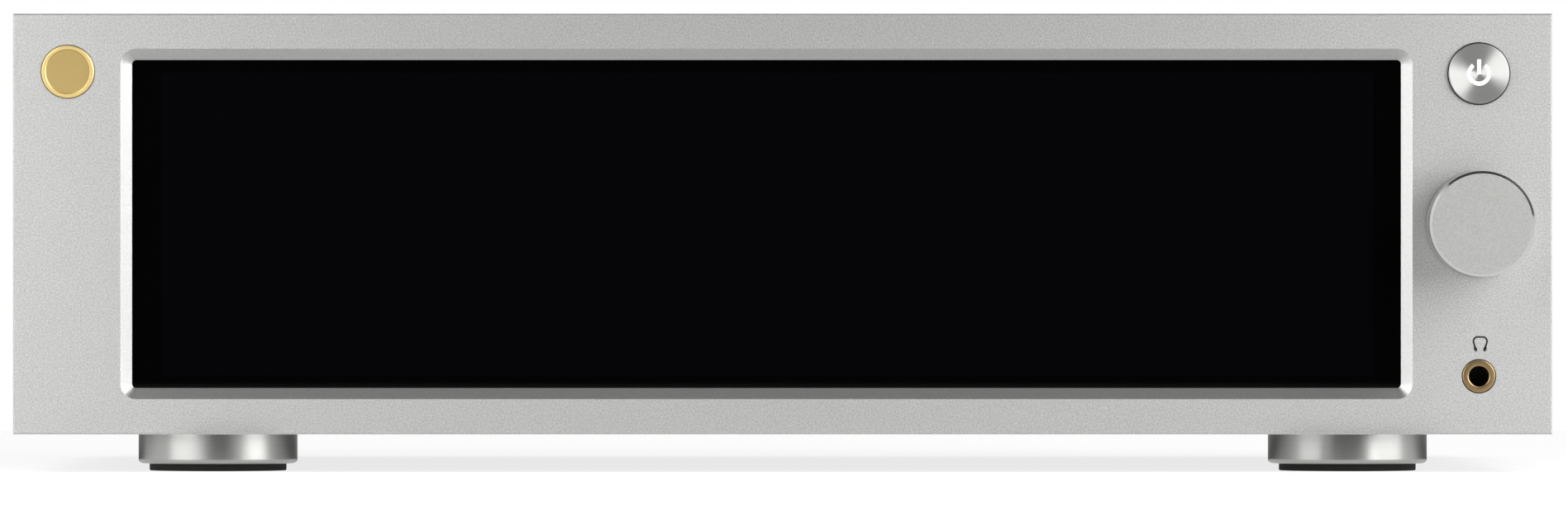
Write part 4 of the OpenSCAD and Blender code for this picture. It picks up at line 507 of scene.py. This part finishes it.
# Rear legends: channel letters and the direction of each socket, screen printed in black on the rear
# panel, with a fine bracket under each pair of phono sockets. Places along the panel are in mm, and a bar
# of a bracket has a length, a height, a distance from the pair's middle and a rise.
REAR_Y = 103 * MM
LETTER_SIZE = 3 * MM
LETTER_Z, BRACKET_Z = 67.2 * MM, 45.6 * MM
LEGENDS = [("R", 118, LETTER_Z), ("L", 99, LETTER_Z), ("R", 80, LETTER_Z), ("L", 61, LETTER_Z),
           ("OUT", 108.5, BRACKET_Z), ("IN", 70.5, BRACKET_Z), ("OUT", 42, BRACKET_Z), ("IN", 23, BRACKET_Z),
           ("IN", 3, BRACKET_Z), ("OUT", -14, BRACKET_Z)]
PAIRS = (108.5, 70.5)
BRACKET_BARS = ((5, 0.25, 7, 0), (0.25, 1.6, 9.5, 0.8))
FACES_REAR = Matrix(((-1, 0, 0), (0, 0, 1), (0, 1, 0)))
legends = bmesh.new()
for word, x, z in LEGENDS:
    letters = bpy.data.curves.new("legend", "FONT")
    letters.body, letters.size, letters.extrude = word, LETTER_SIZE, PRINT
    letters.align_x, letters.align_y = "CENTER", "CENTER"
    holder = bpy.data.objects.new("legend", letters)
    data = bpy.data.meshes.new_from_object(holder)
    data.transform(Matrix.Translation((x * MM, REAR_Y, z)) @ FACES_REAR.to_4x4())
    legends.from_mesh(data)
    bpy.data.objects.remove(holder)
    bpy.data.meshes.remove(data)
for middle in PAIRS:
    for side in (-1, 1):
        for long, high, out, up in BRACKET_BARS:
            bar = bmesh.ops.create_cube(legends, size=1)["verts"]
            bmesh.ops.scale(legends, verts=bar, vec=(long * MM, 2 * PRINT, high * MM))
            bar_at = ((middle + side * out) * MM, REAR_Y, BRACKET_Z + up * MM)
            bmesh.ops.translate(legends, verts=bar, vec=bar_at)
placed(legends, "rear_legends", ink, "cabinet", smooth=False)

# Electronics inside: lacquered fibreglass boards, a finned heatsink, the supply's transformer and
# capacitors, and the cables. They show only through the vents.
board = finish_named("green_solder_mask")
place = add(board, "TexCoord", {})["Object"]
tracks = add(board, "TexBrick", {"Vector": place, "Color1": linear("#0F4A2A"), "Color2": linear("#125231"),
                                 "Mortar": linear("#1D6B40"), "Scale": 1 / (6 * MM), "Mortar Size": 0.06})[0]
shader = add(board, "BsdfPrincipled", {"Base Color": tracks, "Roughness": 0.3})["BSDF"]
add(board, "OutputMaterial", {"Surface": shader})
dress(board, "control_board", "main_board", "audio_board", "supply_board")

fins = finish_named("black_anodised_extrusion")
place = add(fins, "TexCoord", {})["Object"]
streak = add(fins, "Mapping", {"Vector": place, "Scale": (1 / (0.4 * MM), 1 / (30 * MM), 1 / (0.4 * MM))})[0]
lines = add(fins, "TexNoise", {"Vector": streak, "Scale": 1.0, "Detail": 2.0})[0]
colour = add(fins, "Mix", {0: lines, 6: linear("#1A1A1B"), 7: linear("#2B2B2C")}, data_type="RGBA")[2]
shader = add(fins, "BsdfPrincipled", {"Base Color": colour, "Metallic": 0.6, "Roughness": 0.45})["BSDF"]
add(fins, "OutputMaterial", {"Surface": shader})
dress(fins, "heatsink", "supply_transformer")

sleeve = finish_named("shrunk_capacitor_sleeve")
place = add(sleeve, "TexCoord", {})["Object"]
cloud = add(sleeve, "TexNoise", {"Vector": place, "Scale": 1 / (3 * MM), "Detail": 2.0})[0]
colour = add(sleeve, "Mix", {0: cloud, 6: linear("#14161C"), 7: linear("#1F222B")}, data_type="RGBA")[2]
shader = add(sleeve, "BsdfPrincipled", {"Base Color": colour, "Roughness": 0.25})["BSDF"]
add(sleeve, "OutputMaterial", {"Surface": shader})
dress(sleeve, "supply_capacitors")

cable = finish_named("grey_cable_insulation")
place = add(cable, "TexCoord", {})["Object"]
cores = add(cable, "TexNoise", {"Vector": place, "Scale": 1 / (1.3 * MM), "Detail": 1.0})[0]
colour = add(cable, "Mix", {0: cores, 6: linear("#8A8A88"), 7: linear("#A8A8A5")}, data_type="RGBA")[2]
shader = add(cable, "BsdfPrincipled", {"Base Color": colour, "Roughness": 0.5})["BSDF"]
add(cable, "OutputMaterial", {"Surface": shader})
dress(cable, "ribbon_cables", "mains_wires")

tube = finish_named("clear_fuse_glass")
place = add(tube, "TexCoord", {})["Object"]
mist = add(tube, "TexNoise", {"Vector": place, "Scale": 1 / (2 * MM), "Detail": 1.0})[0]
rough = add(tube, "MapRange", {"Value": mist, "To Min": 0.04, "To Max": 0.1})[0]
shader = add(tube, "BsdfPrincipled", {
    "Base Color": linear("#E8ECEC"), "Roughness": rough, "IOR": 1.5, "Transmission Weight": 0.8})["BSDF"]
add(tube, "OutputMaterial", {"Surface": shader})
dress(tube, "fuse")

# Studio: a sheet of white paper on the floor, white all round, a soft box close by on each side of the
# front and a larger one further off on the right. Cards that only reflections show stand for a room.
FLOOR = [(-6, -6, 0), (6, -6, 0), (6, 0.5, 0), (-6, 0.5, 0)]
FLOOR_GLOW = 0.8
WORLD_FILL = 0.8


def stand(name, corners, material):
    """A flat sheet that belongs to the studio, not to the object."""
    outline = bmesh.new()
    outline.faces.new([outline.verts.new(corner) for corner in corners])
    data = bpy.data.meshes.new(name)
    outline.to_mesh(data)
    outline.free()
    data.materials.append(material)
    sheet = bpy.data.objects.new(name, data)
    bpy.context.scene.collection.objects.link(sheet)
    return sheet


white_floor = finish_named("white_studio_floor")
rays = add(white_floor, "LightPath", {})
seen = add(white_floor, "Math", {0: rays["Is Camera Ray"], 1: rays["Is Glossy Ray"]}, operation="MAXIMUM")[0]
seen = add(white_floor, "Math", {0: seen, 1: rays["Is Transmission Ray"]}, operation="MAXIMUM")[0]
share = add(white_floor, "Math", {0: seen, 1: FLOOR_GLOW}, operation="MULTIPLY")[0]
paper = add(white_floor, "BsdfDiffuse", {"Color": linear("#F2F2F2")})[0]
glow = add(white_floor, "Emission", {"Color": linear("#FFFFFF"), "Strength": 1.0})[0]
surface = add(white_floor, "MixShader", {0: share, 1: paper, 2: glow})[0]
add(white_floor, "OutputMaterial", {"Surface": surface})
stand("studio_floor", FLOOR, white_floor)

world = bpy.data.worlds.new("white_studio")
bpy.context.scene.world = world
world.use_nodes = True
world.node_tree.nodes.clear()
rays = add(world, "LightPath", {})
seen = add(world, "Math", {0: rays["Is Camera Ray"], 1: rays["Is Glossy Ray"]}, operation="MAXIMUM")[0]
seen = add(world, "Math", {0: seen, 1: rays["Is Transmission Ray"]}, operation="MAXIMUM")[0]
strength = add(world, "MapRange", {"Value": seen, "To Min": WORLD_FILL, "To Max": 1.0})[0]
backdrop = add(world, "Background", {"Color": linear("#FFFFFF"), "Strength": strength})[0]
add(world, "OutputWorld", {"Surface": backdrop})


def upright(start, end, low, high):
    """Corners of a card that stands between two points of the floor plan."""
    return [(*start, low), (*end, low), (*end, high), (*start, high)]


def level(west, east, front, back, high):
    """Corners of a card that lies flat."""
    return [(west, front, high), (east, front, high), (east, back, high), (west, back, high)]


# Each card has a name, corners in metres, a colour and a brightness. The large ones are the room, the
# small ones are the flags and white boards that shape the light on the turned feet.
MAT_Z = 0.001
FOOT_FLAG_Y, FOOT_FLAG_TOP = -0.105, 0.006
BOARD_TOP = 0.0065
CARDS = [
    ("dark_room", upright((-1.5, -1.7), (1.7, -1.7), 0, 1.9), "#1E1E20", 1),
    ("grey_ceiling", level(-1.9, 2.5, -2, 1.2, 1.5), "#E2E2E2", 1),
    ("top_flag", level(-0.9, 2.4, -0.31, 0.09, 1.3), "#404040", 1),
    ("right_flag", upright((0.95, -0.31), (0.95, 0.09), 0.17, 1.3), "#606060", 1),
    ("back_left_flag", upright((-1.4, 1), (-0.3, 1), 0, 1.5), "#0A0A0A", 1),
    ("back_right_flag", upright((0.35, 1), (2.2, 1), 0, 1.5), "#0A0A0A", 1),
    ("front_mat", level(-1.5, 1.7, -1.7, -0.42, MAT_Z), "#606060", 1),
    # Painted shade: this dark card under the case stands for the floor in the case's shadow, seen only in
    # reflections.
    ("under_case_shade_card", level(-0.25, 0.3, -0.065, 0.11, MAT_Z), "#585858", 1),
    ("left_foot_flag", upright((-0.1085, FOOT_FLAG_Y), (-0.092, FOOT_FLAG_Y), 0, FOOT_FLAG_TOP),
     "#6A6A6A", 1),
    ("right_foot_flag", upright((0.09, FOOT_FLAG_Y), (0.118, FOOT_FLAG_Y), 0, FOOT_FLAG_TOP),
     "#6A6A6A", 1),
    ("left_foot_board_a", upright((-0.1117, -0.0946), (-0.124, -0.0881), 0, BOARD_TOP), "#FFFFFF", 2.4),
    ("left_foot_board_b", upright((-0.0886, -0.0936), (-0.0809, -0.0863), 0, BOARD_TOP), "#FFFFFF", 3.2),
    ("right_foot_board_a", upright((0.0899, -0.0933), (0.0806, -0.0857), 0, BOARD_TOP), "#FFFFFF", 1.8),
    ("right_foot_board_b", upright((0.1156, -0.0936), (0.126, -0.0844), 0, BOARD_TOP), "#FFFFFF", 2.7),
]
for name, corners, shade, brightness in CARDS:
    cloth = finish_named(name + "_cloth")
    glow = add(cloth, "Emission", {"Color": linear(shade), "Strength": brightness})[0]
    add(cloth, "OutputMaterial", {"Surface": glow})
    card = stand(name, corners, cloth)
    card.visible_camera = False
    card.visible_diffuse = False
    card.visible_transmission = False
    card.visible_shadow = False

# Each lamp has a name, a place, a width and height in metres, a brightness and the point that it faces.
SUBJECT = (0, -0.09, 0.04)
LAMPS = [
    ("left_box", (-0.30, -0.335, 0.22), (0.29, 0.43), 6.7, (0, -0.335, 0.22)),
    ("right_box", (1.3, -0.725, 0.85), (0.66, 0.76), 4.9, SUBJECT),
    ("right_strip", (0.38, -0.415, 0.22), (0.43, 0.43), 7.2, (0, -0.415, 0.22)),
]
for name, at, size, brightness, target in LAMPS:
    lamp = bpy.data.lights.new(name, "AREA")
    lamp.shape = "RECTANGLE"
    lamp.size, lamp.size_y = size
    lamp.energy = brightness * math.pi * size[0] * size[1]
    lamp_object = bpy.data.objects.new(name, lamp)
    lamp_object.location = at
    lamp_object.rotation_euler = (Vector(target) - Vector(at)).to_track_quat("-Z", "Y").to_euler()
    lamp_object.visible_camera = False
    bpy.context.scene.collection.objects.link(lamp_object)

# Camera: a long lens square to the panel, a little below the middle of the window.
SENSOR = 36
DISTANCE = 2.5
VIEW_WIDTH = 283.17 * MM
CAMERA_X, CAMERA_Z = 0.24 * MM, 39.3 * MM
camera_data = bpy.data.cameras.new("camera")
camera_data.sensor_width = SENSOR
camera_data.lens = SENSOR * DISTANCE / VIEW_WIDTH
camera_data.clip_start, camera_data.clip_end = 0.05, 100
camera = bpy.data.objects.new("camera", camera_data)
camera.location = (CAMERA_X, FRONT_Y - DISTANCE, CAMERA_Z)
camera.rotation_euler = (math.radians(90), 0, 0)
bpy.context.scene.collection.objects.link(camera)
bpy.context.scene.camera = camera
bpy.context.scene.view_settings.view_transform = "Standard"
